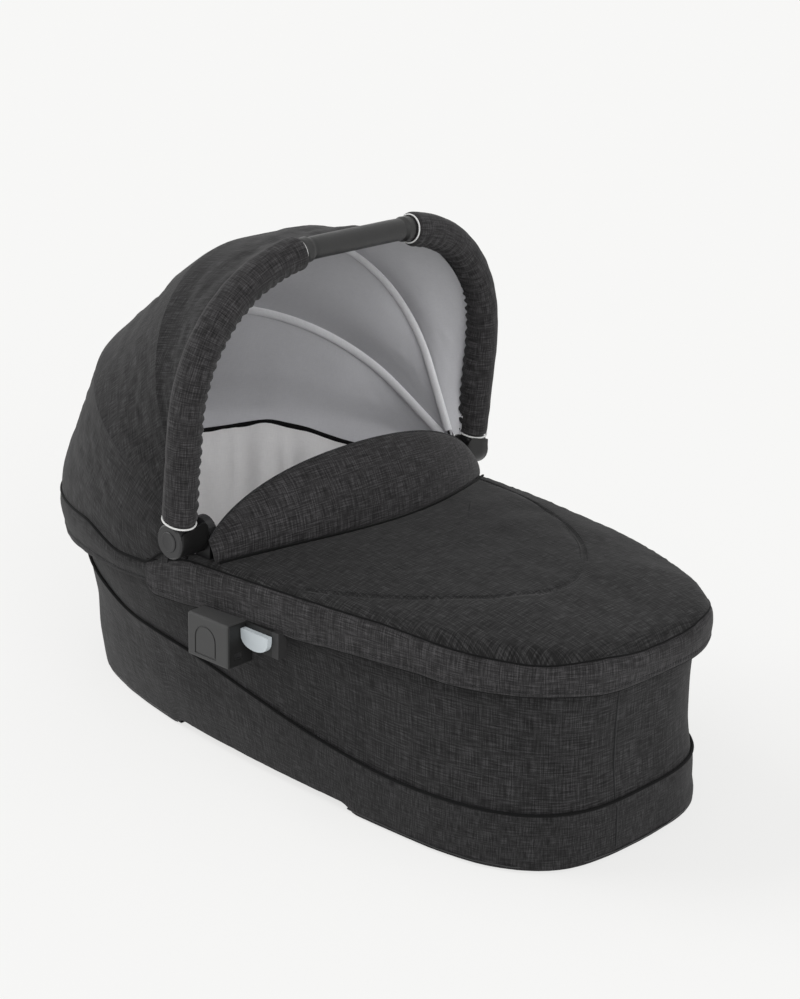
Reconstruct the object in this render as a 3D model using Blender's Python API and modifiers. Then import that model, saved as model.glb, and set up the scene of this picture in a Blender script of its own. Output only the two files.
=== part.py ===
"""A folding carrycot for a pushchair: base, fabric body, rim, hood, carry handle and chassis adapters.

Metres, +Z up. X runs along the cot, with the head end at -X and the foot end at +X. Y runs across it,
and the cot is the same on both sides of Y = 0. The origin is on the floor, below the middle of the cot.
"""

import math

import bpy
import bmesh
from mathutils import Matrix, Vector

# Whole body, seen from above: two superellipse halves that meet where the body is widest
half_length = 0.4265
rim_half_width = 0.2265
rim_widest_x = 0.273 - half_length
rim_foot_power_shares = (1.9, 3.86)
rim_head_power_shares = (1.9, 2.41)
base_half_width = 0.178
base_widest_x = half_length - 0.2238
base_foot_tip_x = half_length - 0.009
base_head_tip_x = 0.0292 - half_length
base_foot_power_shares = (3.3, 2.9)
base_head_power_shares = (2.24, 3.0)

# The handle's hub keeps its distance from the head end
hub_x = 0.3715 - half_length

# Heights
rim_height = 0.247
rim_dip = 0.012
hub_rise = 0.033
hub_height = rim_height + hub_rise
foot_pad_drop = 0.0043

# Clearances
gap = 0.0003
slip_gap = 0.0005
overrun = 0.004

# Counts of facets
ring_count = 48
flat_count = 28
round_count = 20
fine_count = 24
arc_count = 12
apron_count = 34
valance_count = 44
flap_count = 18
plan_steps = 240
bow_steps = 24
bow_fine_count = 200

# Base tray
tray_wall = 0.003
tray_wall_height = 0.058
tray_floor_height = 0.0165
tray_lip_height = 0.0070
tray_lip_out = 0.0015
tray_skin = 0.0032
arch_from_x = 0.2945 - half_length
arch_to_x = half_length - 0.2845
arch_slope = 0.022
rib_height = 0.0492
rib_thickness = 0.004
rib_spans = ((0.0965 - half_length, arch_from_x + 0.002), (arch_to_x + 0.013, half_length - 0.0665))
rib_half_spread = 0.075
pocket_wall = 0.004
pocket_rows = 2
pocket_columns = 3
pocket_spans = ((0.1215 - half_length, arch_from_x - 0.023), (arch_to_x + 0.033, half_length - 0.0515))
pocket_half_spreads = (0.070, 0.105)
pad_radius = 0.013
pad_seat_depth = 0.0012
pad_places = ((0.1515 - half_length, 0.100), (half_length - 0.0915, 0.128))

# Board and mattress
board_inset = 0.038
board_thickness = 0.003
mattress_inset = 0.034
mattress_thickness = 0.032
mattress_crown = 0.006
mattress_edge = 0.007

# Fabric body
wall_set_back = 0.008
wall_thickness = 0.0025
wall_bottom = 0.0092
band_thickness = 0.0022
band_bottom = 0.0076
band_head_height = 0.155
band_foot_height = 0.066
band_turn_from_x = 0.2115 - half_length
band_turn_to_x = half_length - 0.2115
arch_hem_rise = 0.0085
liner_bottom = 0.0505
liner_bottom_inset = 0.030
liner_top_inset = 0.0300
liner_thickness = 0.002
liner_rise = 0.008
liner_foot_rise = 0.006
liner_drop_from_x = hub_x - 0.025
liner_drop_to_x = hub_x + 0.019
wall_notch_clearance = 0.003

# Rim
rim_tube_radius = 0.0055
rim_tube_inset = 0.0182
rim_tube_drop = 0.003
cover_lift = 0.0003
cover_thickness = 0.003
cover_inner_inset = 0.0268
cover_round = 0.0012
apron_thickness = 0.002
apron_crown = 0.020
apron_across_power = 3
apron_along_power = 6
flap_end_x = hub_x + 0.025
flap_apex_x = hub_x + 0.100
valance_inset = 0.0010
valance_thickness = 0.0028
valance_depth = 0.039
valance_flare = 0.002
valance_end_x = hub_x - 0.057

# Wind flap
flap_height = 0.100
flap_half_width = 0.206
flap_lean = math.radians(25)
flap_thickness = 0.009
flap_edge = 0.003
flap_seat = 0.006
flap_powers = (2.6, 0.7)

# Stays: two wire frames inside the body that hold it up
stay_wire_radius = 0.00225
stay_slant = math.radians(45)
stay_pivot_drop = 0.0135
head_stay_x = 0.1365 - half_length
foot_stay_x = half_length - 0.1265
stay_bar_clearance = 0.0055
stay_bow_shares = (0.35, 0.6, 0.8)
stay_corner = 0.020
stay_hook_corner = 0.0045
clip_length = 0.010
clip_width = 0.007
clip_wall = 0.0022
clip_wall_clearance = 0.0022

# Hub
bow_lean = math.radians(5.6)
mount_inner_y = 0.1985
mount_thickness = 0.011
mount_radius = 0.019
mount_foot_half = 0.017
mount_wall_clearance = 0.0016
knob_radius = 0.020
knob_inner_y = 0.2100
knob_shoulder_y = 0.2235
knob_outer_y = 0.2530
knob_boss_radius = 0.0075
knob_edge = 0.002
neck_radius = 0.0105
neck_length = 0.030
pin_radius = 0.004
pin_depth = 0.017
button_radius = 0.0115
button_well = 0.0095
button_length = 0.007
button_proud = 0.0012
button_dish_shares = (0.6, 0.8)

# Carry handle
leg_y = 0.2395
bow_radius = 0.305
bow_corner = 0.182
bow_power_share = 2.2
bow_tube_radius = 0.008
bow_tube_foot = 0.0197
sleeve_radius = 0.0190
sleeve_start = 0.0312
grip_radius = 0.0125
grip_half = 0.0775
grip_end = 0.003
bow_count = 41
station_clearance = 0.2
sleeve_mouth_share = 0.86

# Canopy: four nested curved panels and two ribs
panel_thickness = 0.0018
panel_pitch = 0.005
panel_step = math.radians(24)
panel_front_offset = 0.0195
panel_overlap = 0.004
panel_start = 0.034
front_panel_radius = 0.3045
canopy_corner = 0.190
canopy_corner_power_share = 2.0
swell_from = math.radians(70)
swell_power_share = 4.0
canopy_seat_gap = 0.0003
rib_strip_thickness = 0.0012
rib_strip_gap = 0.0007
rib_strip_width = 0.008
panel_count = 13
hem_start = 0.248
hem_thickness = 0.0012
hem_least = 0.0015
hem_count = 34
panel_rows = 4
rear_rib_angle = math.radians(30)
front_rib_angle = math.radians(66)
eyelet_radius = 0.0125

# Chassis adapters
adapter_x = hub_x + 0.026
adapter_width = 0.065
adapter_bottom = rim_height - 0.091
adapter_height = 0.0505
adapter_lap = 0.00741
adapter_depth = 0.0375
adapter_chamfer = 0.007
adapter_tail = 0.052
adapter_tail_height = 0.030
adapter_tail_depth = 0.012
socket_from_x = adapter_x + 0.009
socket_width = 0.034
socket_set_in = 0.0135
socket_span = 0.018
socket_depth = 0.032
block_from_x = adapter_x + 0.009
block_width = 0.046
block_bottom = adapter_bottom + 0.030
badge_width = 0.034
badge_height = 0.036
badge_line = 0.002
badge_depth = 0.0008
badge_margin = 0.010

# Release lever and latch
lever_width = 0.042
lever_height = 0.021
lever_thickness = 0.007
lever_top = adapter_bottom + 0.0445
lever_curl = 0.0045
lever_travel = 0.0055
lever_curve_power = 0.7
lever_stem = 0.005
lever_stem_drop = 0.009
latch_tip = 0.0045
latch_length = 0.0235
latch_height = 0.007
latch_width = 0.010
latch_bottom = adapter_bottom + 0.009

SIDES = (("left", 1), ("right", -1))


def start():
    """Empties the scene and returns the collections for the parts and for their cutters."""
    for old in list(bpy.data.objects):
        bpy.data.objects.remove(old, do_unlink=True)
    parts = bpy.data.collections.new("carrycot")
    cutters = bpy.data.collections.new("cutters")
    for collection in (parts, cutters):
        bpy.context.scene.collection.children.link(collection)
    return parts, cutters


PARTS, CUTTERS = start()


def material(name, color, roughness, metallic=0.0):
    """A Principled material, made once for each name."""
    found = bpy.data.materials.get(name)
    if found:
        return found
    made = bpy.data.materials.new(name)
    made.use_nodes = True
    shader = made.node_tree.nodes["Principled BSDF"]
    shader.inputs["Base Color"].default_value = (*color, 1)
    shader.inputs["Roughness"].default_value = roughness
    shader.inputs["Metallic"].default_value = metallic
    made.diffuse_color = (*color, 1)
    return made


def charcoal_cloth():
    return material("charcoal_cloth", (0.045, 0.045, 0.048), 0.9)


def grey_lining():
    return material("grey_lining", (0.42, 0.42, 0.43), 0.85)


def white_ticking():
    return material("white_ticking", (0.78, 0.78, 0.76), 0.85)


def black_plastic():
    return material("black_plastic", (0.022, 0.022, 0.024), 0.5)


def pale_plastic():
    return material("pale_plastic", (0.55, 0.6, 0.63), 0.4)


def black_leather():
    return material("black_leather", (0.012, 0.012, 0.012), 0.45)


def aluminium():
    return material("aluminium", (0.62, 0.62, 0.63), 0.3, 1.0)


def steel():
    return material("steel", (0.5, 0.5, 0.51), 0.35, 1.0)


def rubber():
    return material("rubber", (0.02, 0.02, 0.02), 0.9)


def board():
    return material("board", (0.35, 0.25, 0.15), 0.8)


# Mesh helpers


def put(name, mesh, finish=None, collection=None):
    """A named object for a mesh: a part where it has a finish, otherwise a cutter or a guide."""
    thing = bpy.data.objects.new(name, mesh)
    if finish:
        mesh.materials.append(finish)
        (collection or PARTS).objects.link(thing)
    else:
        (collection or CUTTERS).objects.link(thing)
        thing.hide_render = True
        thing.display_type = "WIRE"
    return thing


def build(name, points, faces, finish=None, smooth=35):
    """A mesh object from points and faces, with its faces pointing out and round stretches smooth."""
    mesh = bpy.data.meshes.new(name)
    mesh.from_pydata(points, [], faces)
    shell = bmesh.new()
    shell.from_mesh(mesh)
    bmesh.ops.recalc_face_normals(shell, faces=shell.faces)
    shell.to_mesh(mesh)
    shell.free()
    mesh.shade_smooth()
    mesh.set_sharp_from_angle(angle=math.radians(smooth))
    return put(name, mesh, finish)


def loft(name, rows, finish=None, closed=True, round_trip=False, smooth=35, split=False):
    """A surface through rows of points. A closed row runs round, and round_trip joins the last row to
    the first. Otherwise the first and last rows are filled, if they are closed. With split, each quad is
    cut along the diagonal that rises with the row, so that parallel surfaces are cut alike."""
    count = len(rows[0])
    points = [point for row in rows for point in row]
    pairs = [(k, k + 1) for k in range(len(rows) - 1)]
    if round_trip:
        pairs.append((len(rows) - 1, 0))
    steps = range(count if closed else count - 1)
    faces = []
    for a, b in pairs:
        for i in steps:
            j = (i + 1) % count
            quad = (a * count + i, a * count + j, b * count + j, b * count + i)
            if not split:
                faces.append(quad)
            elif points[quad[0]][2] < points[quad[3]][2]:
                faces += [(quad[0], quad[1], quad[2]), (quad[0], quad[2], quad[3])]
            else:
                faces += [(quad[0], quad[1], quad[3]), (quad[1], quad[2], quad[3])]
    if closed and not round_trip:
        faces.append(tuple(range(count)))
        last = (len(rows) - 1) * count
        faces.append(tuple(last + i for i in reversed(range(count))))
    return build(name, points, faces, finish, smooth)


def box(name, low, high, finish=None):
    """A box between two corners, from the cube primitive."""
    mesh = bpy.data.meshes.new(name)
    cube = bmesh.new()
    bmesh.ops.create_cube(cube, size=1)
    size = [b - a for a, b in zip(low, high)]
    middle = [(a + b) / 2 for a, b in zip(low, high)]
    place = Matrix.Translation(middle) @ Matrix.Diagonal((*size, 1))
    bmesh.ops.transform(cube, matrix=place, verts=cube.verts)
    cube.to_mesh(mesh)
    cube.free()
    return put(name, mesh, finish)


def cylinder(name, start, end, radius, finish=None, count=round_count):
    """A cylinder from one point to another, from the cone primitive."""
    start, end = Vector(start), Vector(end)
    mesh = bpy.data.meshes.new(name)
    rod = bmesh.new()
    length = (end - start).length
    bmesh.ops.create_cone(rod, cap_ends=True, segments=count, radius1=radius, radius2=radius, depth=length)
    turn = Vector((0, 0, 1)).rotation_difference(end - start).to_matrix().to_4x4()
    bmesh.ops.transform(rod, matrix=Matrix.Translation((start + end) / 2) @ turn, verts=rod.verts)
    rod.to_mesh(mesh)
    rod.free()
    mesh.shade_smooth()
    mesh.set_sharp_from_angle(angle=math.radians(35))
    return put(name, mesh, finish)


def bevel(thing, width, segments=2, angle=40):
    """Rounds the sharp edges of a part."""
    rounding = thing.modifiers.new("bevel", "BEVEL")
    rounding.width = width
    rounding.segments = segments
    rounding.limit_method = "ANGLE"
    rounding.angle_limit = math.radians(angle)
    return thing


def boolean(thing, other, operation="DIFFERENCE"):
    """Cuts or joins one solid with another, which goes to the cutters."""
    step = thing.modifiers.new(operation.lower(), "BOOLEAN")
    step.operation = operation
    step.solver = "EXACT"
    step.object = other
    return thing


def cut(thing, *cutters):
    for cutter in cutters:
        boolean(thing, cutter)
    return thing


def join(thing, *others):
    for other in others:
        boolean(thing, other, "UNION")
    return thing


def tube(name, path, radius, finish=None, cyclic=False, resolution=2):
    """A round tube along points: a curve with a bevel."""
    curve = bpy.data.curves.new(name, "CURVE")
    curve.dimensions = "3D"
    curve.bevel_depth = radius
    curve.bevel_resolution = resolution
    curve.use_fill_caps = not cyclic
    spline = curve.splines.new("POLY")
    spline.points.add(len(path) - 1)
    for place, point in zip(spline.points, path):
        place.co = (*point, 1)
        place.tilt = 0
    spline.use_cyclic_u = cyclic
    made = put(name, curve, finish)
    return made


def meshed(curve_object, finish=None):
    """A curve object turned into a mesh object of the same name, with its caps welded."""
    graph = bpy.context.evaluated_depsgraph_get()
    graph.update()
    mesh = bpy.data.meshes.new_from_object(curve_object.evaluated_get(graph))
    place = curve_object.matrix_world.copy()
    name = curve_object.name
    bpy.data.objects.remove(curve_object, do_unlink=True)
    shell = bmesh.new()
    shell.from_mesh(mesh)
    bmesh.ops.remove_doubles(shell, verts=shell.verts, dist=1e-6)
    bmesh.ops.recalc_face_normals(shell, faces=shell.faces)
    shell.to_mesh(mesh)
    shell.free()
    mesh.materials.clear()
    made = put(name, mesh, finish)
    made.matrix_world = place
    return made


def plate(name, outline, thickness, finish=None):
    """A flat outline in its own XY plane, extruded evenly to both sides, as a mesh."""
    curve = bpy.data.curves.new(name, "CURVE")
    curve.dimensions = "2D"
    curve.fill_mode = "BOTH"
    curve.extrude = thickness / 2
    spline = curve.splines.new("POLY")
    spline.points.add(len(outline) - 1)
    for place, (x, y) in zip(spline.points, outline):
        place.co = (x, y, 0, 1)
    spline.use_cyclic_u = True
    return meshed(put(name, curve), finish)


def stood(thing, origin, across, up):
    """Stands a plate in space: its X runs along across, its Y along up, and its origin lies at origin."""
    across, up = Vector(across), Vector(up)
    normal = across.cross(up)
    frame = Matrix((across, up, normal)).transposed().to_4x4()
    thing.data.transform(Matrix.Translation(origin) @ frame)
    return thing


def turned(name, profile, finish=None, count=fine_count):
    """A turned solid about the Y axis. The profile is (radius, y), its outer side from top to bottom."""
    mesh = bpy.data.meshes.new(name)
    points = [(radius, 0, height) for radius, height in profile]
    mesh.from_pydata(points, [(i, i + 1) for i in range(len(points) - 1)], [])
    guide = put(name + "_guide", mesh)
    screw = guide.modifiers.new("screw", "SCREW")
    screw.axis = "Z"
    screw.steps = count
    screw.render_steps = count
    screw.use_merge_vertices = True
    screw.merge_threshold = 1e-5
    made = meshed(guide, finish)
    made.name = name
    made.data.transform(Matrix.Rotation(math.radians(-90), 4, "X"))
    return made


def mirrored(thing, name, finish):
    """A copy of a part on the other side of Y = 0."""
    graph = bpy.context.evaluated_depsgraph_get()
    graph.update()
    mesh = bpy.data.meshes.new_from_object(thing.evaluated_get(graph))
    mesh.transform(thing.matrix_world)
    mesh.transform(Matrix.Diagonal((1, -1, 1, 1)))
    mesh.flip_normals()
    mesh.materials.clear()
    return put(name, mesh, finish)


def pair(make, name, *arguments):
    """Makes a part for the left side and mirrors it to the right."""
    left = make(name + "_left", *arguments)
    right = mirrored(left, name + "_right", left.data.materials[0])
    return left, right


# Plan of the body


def power(value, share):
    return math.copysign(abs(value) ** share, value)


def half_plan(half_width, widest_x, tip_x, shares, steps=plan_steps):
    """Points of half a superellipse, from its tip to its widest place, on the +Y side."""
    reach = tip_x - widest_x
    found = []
    for k in range(steps + 1):
        angle = math.pi / 2 * (k / steps) ** 2
        x = widest_x + reach * power(math.cos(angle), 2 / shares[0])
        found.append((x, half_width * power(math.sin(angle), 2 / shares[1])))
    found[-1] = (widest_x, half_width)
    return found


def inset_line(line, inset):
    """A line of the +Y side moved inwards along its normals, with its ends kept on Y = 0."""
    moved = []
    last = len(line) - 1
    for k, (x, y) in enumerate(line):
        before, after = line[max(k - 1, 0)], line[min(k + 1, last)]
        along = Vector((after[0] - before[0], after[1] - before[1]))
        if k in (0, last):
            along = Vector((0, 1 if k == 0 else -1))
        along.normalize()
        moved.append((x - along.y * inset, y + along.x * inset))
    moved = [(x, max(y, 0)) for x, y in moved]
    return moved


def side_line(kind, inset=0.0):
    """The +Y side of the rim's or the base's plan, from the foot tip to the head tip."""
    if kind == "rim":
        width, widest, foot_tip, head_tip = rim_half_width, rim_widest_x, half_length, -half_length
        foot_shares, head_shares = rim_foot_power_shares, rim_head_power_shares
    else:
        width, widest = base_half_width, base_widest_x
        foot_tip, head_tip = base_foot_tip_x, base_head_tip_x
        foot_shares, head_shares = base_foot_power_shares, base_head_power_shares
    foot = half_plan(width, widest, foot_tip, foot_shares)
    head = half_plan(width, widest, head_tip, head_shares)
    return inset_line(foot + head[-2::-1], inset)


def places_along(line, count):
    """Where evenly spaced points fall on a line, as pairs of an index and a share of the next step."""
    lengths = [0.0]
    for a, b in zip(line, line[1:]):
        lengths.append(lengths[-1] + math.dist(a, b))
    found = []
    k = 0
    for step in range(count):
        want = lengths[-1] * step / (count - 1)
        while k < len(line) - 2 and lengths[k + 1] < want:
            k += 1
        span = lengths[k + 1] - lengths[k]
        share = (want - lengths[k]) / span if span > 0 else 0
        found.append((k, min(max(share, 0), 1)))
    return found


def between(a, b, share):
    return tuple(p + (q - p) * share for p, q in zip(a, b))


def spread(line, count):
    """Points spaced evenly along a line of two or three coordinates."""
    return [between(line[k], line[k + 1], share) for k, share in places_along(line, count)]


def plan_ring(kind, inset=0.0, count=ring_count):
    """A closed ring of the plan: foot tip, +Y side, head tip, -Y side. The points of every inset lie on
    the same normals, so that the flat faces of nested parts stay parallel."""
    line = side_line(kind, inset)
    places = places_along(side_line(kind), count // 2 + 1)
    side = [between(line[k], line[k + 1], share) for k, share in places]
    return side + [(x, -y) for x, y in side[-2:0:-1]]


def half_width_at(kind, inset, x):
    """Half the width of the plan at a place along the cot."""
    line = side_line(kind, inset)
    for (x0, y0), (x1, y1) in zip(line, line[1:]):
        if x1 <= x <= x0:
            return y0 + (y1 - y0) * ((x0 - x) / (x0 - x1) if x0 > x1 else 0)
    return 0.0


def rim_z(x):
    """The rim's height: it dips towards both ends."""
    return rim_height - rim_dip * (x / half_length) ** 2


def wall_ring(height, inset=0.0, count=ring_count):
    """A ring of the body's tapering outer side at a height, which may be a function of x."""
    low = plan_ring("base", inset, count)
    high = plan_ring("rim", wall_set_back + inset, count)
    ring = []
    for (x0, y0), (x1, y1) in zip(low, high):
        top = rim_z(x1)
        z = height
        if callable(height):
            z = height((x0 + x1) / 2)
            z = height(x0 + (x1 - x0) * z / top)
        share = z / top
        ring.append((x0 + (x1 - x0) * share, y0 + (y1 - y0) * share, z))
    return ring


def smooth_step(share):
    share = min(max(share, 0), 1)
    return share * share * (3 - 2 * share)


def arch_share(x):
    """One over the raised middle of the base, falling to zero beyond it."""
    rise = smooth_step((x - arch_from_x + arch_slope) / arch_slope)
    fall = smooth_step((arch_to_x + arch_slope - x) / arch_slope)
    return rise * fall


def flat_ring(kind, inset, z, count=ring_count):
    """A ring of the plan at one height, or at a height given as a function of x."""
    lift = z if callable(z) else (lambda x: z)
    return [(x, y, lift(x)) for x, y in plan_ring(kind, inset, count)]


# Base


def side_outline(low_x, high_x, low_z, high_z, slope):
    """A trapezium in X and Z, narrower at its top."""
    top_from, top_to = low_x + slope, high_x - slope
    return [(low_x, low_z), (high_x, low_z), (top_to, high_z), (top_from, high_z)]


def arch_cutter():
    """The raised middle of the tray's underside, across its whole width."""
    top = tray_floor_height - tray_skin
    outline = side_outline(arch_from_x - arch_slope, arch_to_x + arch_slope, -overrun, top, arch_slope)
    block = plate("arch_cutter", outline, 2 * rim_half_width)
    return stood(block, (0, 0, 0), (1, 0, 0), (0, 0, 1))


def pocket_cutters():
    """Pockets between the ribs of the tray's underside."""
    made = []
    top = tray_floor_height - tray_skin
    for (from_x, to_x), half in zip(pocket_spans, pocket_half_spreads):
        step_x = (to_x - from_x) / pocket_columns
        step_y = 2 * half / pocket_rows
        for column in range(pocket_columns):
            for row in range(pocket_rows):
                low_x = from_x + column * step_x + pocket_wall / 2
                low = (low_x, -half + row * step_y + pocket_wall / 2, -overrun)
                high = (low[0] + step_x - pocket_wall, low[1] + step_y - pocket_wall, top)
                made.append(box(f"pocket_{column}_{row}_{from_x:.2f}", low, high))
    return made


def pad_seats():
    """Shallow round seats for the rubber pads."""
    made = []
    for x, y in pad_places:
        for side, sign in SIDES:
            low = (x, sign * y, foot_pad_drop - overrun)
            high = (x, sign * y, foot_pad_drop + pad_seat_depth)
            made.append(cylinder(f"pad_seat_{side}_{x:.2f}", low, high, pad_radius + gap))
    return made


def joined_cutters(name, pieces):
    """Separate cutters gathered in one object."""
    whole = bmesh.new()
    for piece in pieces:
        whole.from_mesh(piece.data)
        bpy.data.objects.remove(piece, do_unlink=True)
    mesh = bpy.data.meshes.new(name)
    whole.to_mesh(mesh)
    whole.free()
    return put(name, mesh)


def base_tray():
    """The moulded tray: lip, side wall, floor, ribs that carry the board, and a ribbed underside."""
    outer = wall_thickness + slip_gap
    inner = outer + tray_wall
    rows = [
        wall_ring(foot_pad_drop, tray_lip_out),
        wall_ring(foot_pad_drop + tray_lip_out, -tray_lip_out),
        wall_ring(tray_lip_height, -tray_lip_out),
        wall_ring(tray_lip_height, outer),
        wall_ring(tray_wall_height, outer),
        wall_ring(tray_wall_height, inner),
        wall_ring(tray_floor_height, inner),
    ]
    tray = loft("base_tray", rows, black_plastic(), split=True)
    ribs = []
    for from_x, to_x in rib_spans:
        for side, sign in SIDES:
            y = sign * rib_half_spread
            low = (from_x, y - rib_thickness / 2, tray_floor_height - tray_skin / 2)
            high = (to_x, y + rib_thickness / 2, rib_height)
            ribs.append(box(f"rib_{side}_{from_x:.2f}", low, high))
    join(tray, joined_cutters("tray_ribs", ribs))
    cut(tray, arch_cutter())
    return cut(tray, joined_cutters("tray_cutters", pocket_cutters() + pad_seats()))


def foot_pads():
    """Four rubber pads that the cot stands on."""
    for (x, y), end in zip(pad_places, ("head", "foot")):
        for side, sign in SIDES:
            top = foot_pad_drop + pad_seat_depth - gap
            name = f"foot_pad_{end}_{side}"
            pad = cylinder(name, (x, sign * y, 0), (x, sign * y, top), pad_radius, rubber())
            bevel(pad, pad_seat_depth / 2, 1)


board_bottom = rib_height + gap
board_top = board_bottom + board_thickness


def base_board():
    """The stiff board under the mattress."""
    rows = [flat_ring("base", board_inset, z, flat_count) for z in (board_bottom, board_top)]
    return loft("base_board", rows, board())


def mattress():
    """A foam mattress: drawn-in sides and a crowned top."""
    low = board_top + gap
    high = low + mattress_thickness
    count = flat_count
    tuck_shares = ((1.0, 0.0), (0.25, 0.16), (0.0, 0.34), (0.18, 0.56), (0.05, 0.8), (0.6, 0.97))
    rows = []
    for tuck, rise in tuck_shares:
        inset = mattress_inset + tuck * mattress_edge
        rows.append(flat_ring("base", inset, low + rise * (high - low), count))
    rim = plan_ring("base", mattress_inset + mattress_edge, count)
    centre_x = (base_foot_tip_x + base_head_tip_x) / 2
    for share in (0.82, 0.5, 0.2):
        crown = high + mattress_crown * (1 - share**2)
        rows.append([(centre_x + (x - centre_x) * share, y * share, crown) for x, y in rim])
    return loft("mattress", rows, white_ticking(), smooth=60)


# Fabric body


def hem_z(lowest):
    """The fabric's lower edge, which rises over the arch of the base."""
    return lambda x: lowest + arch_hem_rise * arch_share(x)


def band_top(x):
    """The lower band's upper edge: high round the head, low round the foot."""
    turn = smooth_step((x - band_turn_from_x) / (band_turn_to_x - band_turn_from_x))
    return band_head_height + (band_foot_height - band_head_height) * turn


wall_top_lift = rim_tube_radius - rim_tube_drop


def side_wall():
    """The outer fabric of the body, from the tray to the rim, notched round the adapters' blocks."""
    low = hem_z(wall_bottom)
    heights = (low, tray_wall_height, band_top, lambda x: rim_z(x) + wall_top_lift)
    rows = [wall_ring(z) for z in heights]
    rows += [wall_ring(z, wall_thickness) for z in reversed(heights)]
    wall = loft("side_wall", rows, charcoal_cloth(), round_trip=True, split=True)
    notch_low = (block_from_x - wall_notch_clearance, -rim_half_width, block_bottom - wall_notch_clearance)
    notch_high = (block_from_x + block_width + wall_notch_clearance, rim_half_width, rim_height + overrun)
    return cut(wall, box("wall_notch", notch_low, notch_high))


def lower_band():
    """The fabric panel that laps over the lower part of the body."""
    inner, outer = -slip_gap, -slip_gap - band_thickness
    heights = (hem_z(band_bottom), tray_wall_height, band_top)
    rows = [wall_ring(z, outer) for z in heights]
    rows += [wall_ring(z, inner) for z in reversed(heights)]
    return loft("lower_band", rows, charcoal_cloth(), round_trip=True, split=True)


def liner():
    """The inner fabric: it hangs from the rim to the board, round the mattress."""
    levels = (0.0, 0.5, 1.0)
    rows = []
    for inset in (0.0, liner_thickness):
        low = plan_ring("base", liner_bottom_inset + inset)
        high = plan_ring("rim", liner_top_inset + inset)
        made = []
        for share in levels:
            row = []
            for (x0, y0), (x1, y1) in zip(low, high):
                drop = smooth_step((x1 - liner_drop_from_x) / (liner_drop_to_x - liner_drop_from_x))
                end = rim_z(x1) + liner_rise + (liner_foot_rise - liner_rise) * drop
                z = liner_bottom + (end - liner_bottom) * share
                row.append((x0 + (x1 - x0) * share, y0 + (y1 - y0) * share, z))
            made.append(row)
        rows += made if inset == 0.0 else made[::-1]
    return loft("liner", rows, grey_lining(), round_trip=True, split=True)


# Rim


def rim_path(count=ring_count):
    """The rim tube's centre line."""
    return [(x, y, rim_z(x) - rim_tube_drop) for x, y in plan_ring("rim", rim_tube_inset, count)]


def rim_tube():
    """The bent tube that carries the top of the body."""
    return tube("rim_tube", rim_path(), rim_tube_radius, aluminium(), cyclic=True)


def rim_clearance(name):
    """The room that the rim tube needs in what clamps it."""
    return meshed(tube(name, rim_path(), rim_tube_radius + gap, cyclic=True))


cover_base_lift = rim_tube_radius - rim_tube_drop + cover_lift
cover_top_lift = cover_base_lift + cover_thickness


def rim_cover():
    """The padded binding on top of the rim, notched for the hub mounts."""
    profile = (
        (0.0, cover_base_lift),
        (0.0, cover_top_lift - cover_round),
        (cover_round, cover_top_lift),
        (cover_inner_inset - cover_round, cover_top_lift),
        (cover_inner_inset, cover_top_lift - cover_round),
        (cover_inner_inset, cover_base_lift),
    )
    rows = []
    for inset, lift in profile:
        rows.append([(x, y, rim_z(x) + lift) for x, y in plan_ring("rim", inset)])
    cover = loft("rim_cover", rows, charcoal_cloth(), round_trip=True)
    notches = []
    for side, sign in SIDES:
        near, far = mount_inner_y - overrun, mount_inner_y + mount_thickness + slip_gap
        edges = sorted((sign * near, sign * far))
        reach = mount_radius + slip_gap
        low = (hub_x - reach, edges[0], rim_height - overrun)
        notches.append(box(f"cover_notch_{side}", low, (hub_x + reach, edges[1], hub_height)))
    return cut(cover, joined_cutters("cover_notches", notches))


apron_seat_lift = cover_top_lift + gap


def apron_z(x, y):
    """Height of the apron's lower face: seated on the rim cover, crowned in the middle."""
    half = max(half_width_at("rim", 0.0, x), overrun)
    across = 1 - min(abs(y) / half, 1) ** apron_across_power
    forward = max(x - flap_end_x, 0) / (half_length - flap_end_x)
    along = 1 - min(forward, 1) ** apron_along_power
    return rim_z(x) + apron_seat_lift + apron_crown * across * along


def flap_line_x(y):
    """The curved seam where the wind flap meets the apron."""
    share = min(abs(y) / rim_half_width, 1)
    return flap_apex_x + (flap_end_x - flap_apex_x) * share**2


def apron_edge(count):
    """The apron's outline: round the foot from one end of the flap seam to the other, and back along it."""
    side = [point for point in side_line("rim") if point[0] >= flap_end_x]
    ring = [(x, -y) for x, y in reversed(side)] + side[1:]
    ring = spread(ring, count)
    end_y = ring[-1][1]
    seam_count = count // 2
    seam = []
    for k in range(1, seam_count):
        y = end_y * (1 - 2 * k / seam_count)
        seam.append((flap_line_x(y), y))
    return ring + seam


def apron():
    """The cover over the foot end: one crowned sheet."""
    edge = apron_edge(apron_count)
    centre = (half_length + flap_apex_x) / 2
    shares = (1.0, 0.93, 0.8, 0.55, 0.22)
    sheets = []
    for lift in (0.0, apron_thickness):
        rows = []
        for share in shares:
            row = []
            for x, y in edge:
                px, py = centre + (x - centre) * share, y * share
                row.append((px, py, apron_z(px, py) + lift))
            rows.append(row)
        sheets.append(rows)
    rows = sheets[0][::-1] + sheets[1]
    return loft("apron", rows, charcoal_cloth(), smooth=60)


def rim_strip(end_x, inset, count):
    """Points of the rim's plan round the foot, from one side's end to the other's."""
    side = [point for point in side_line("rim", inset) if point[0] >= end_x]
    return spread([(x, -y) for x, y in reversed(side)] + side[1:], count)


def strip_solid(name, profile, end_x, count, finish):
    """A strip along the rim round the foot. The profile is a closed outline of (inset, lift)."""
    lines = [rim_strip(end_x, inset, count) for inset, lift in profile]
    rows = []
    for k in range(count):
        row = []
        for line, (_, lift) in zip(lines, profile):
            x, y = line[k]
            row.append((x, y, rim_z(x) + lift))
        rows.append(row)
    return loft(name, rows, finish)


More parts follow.
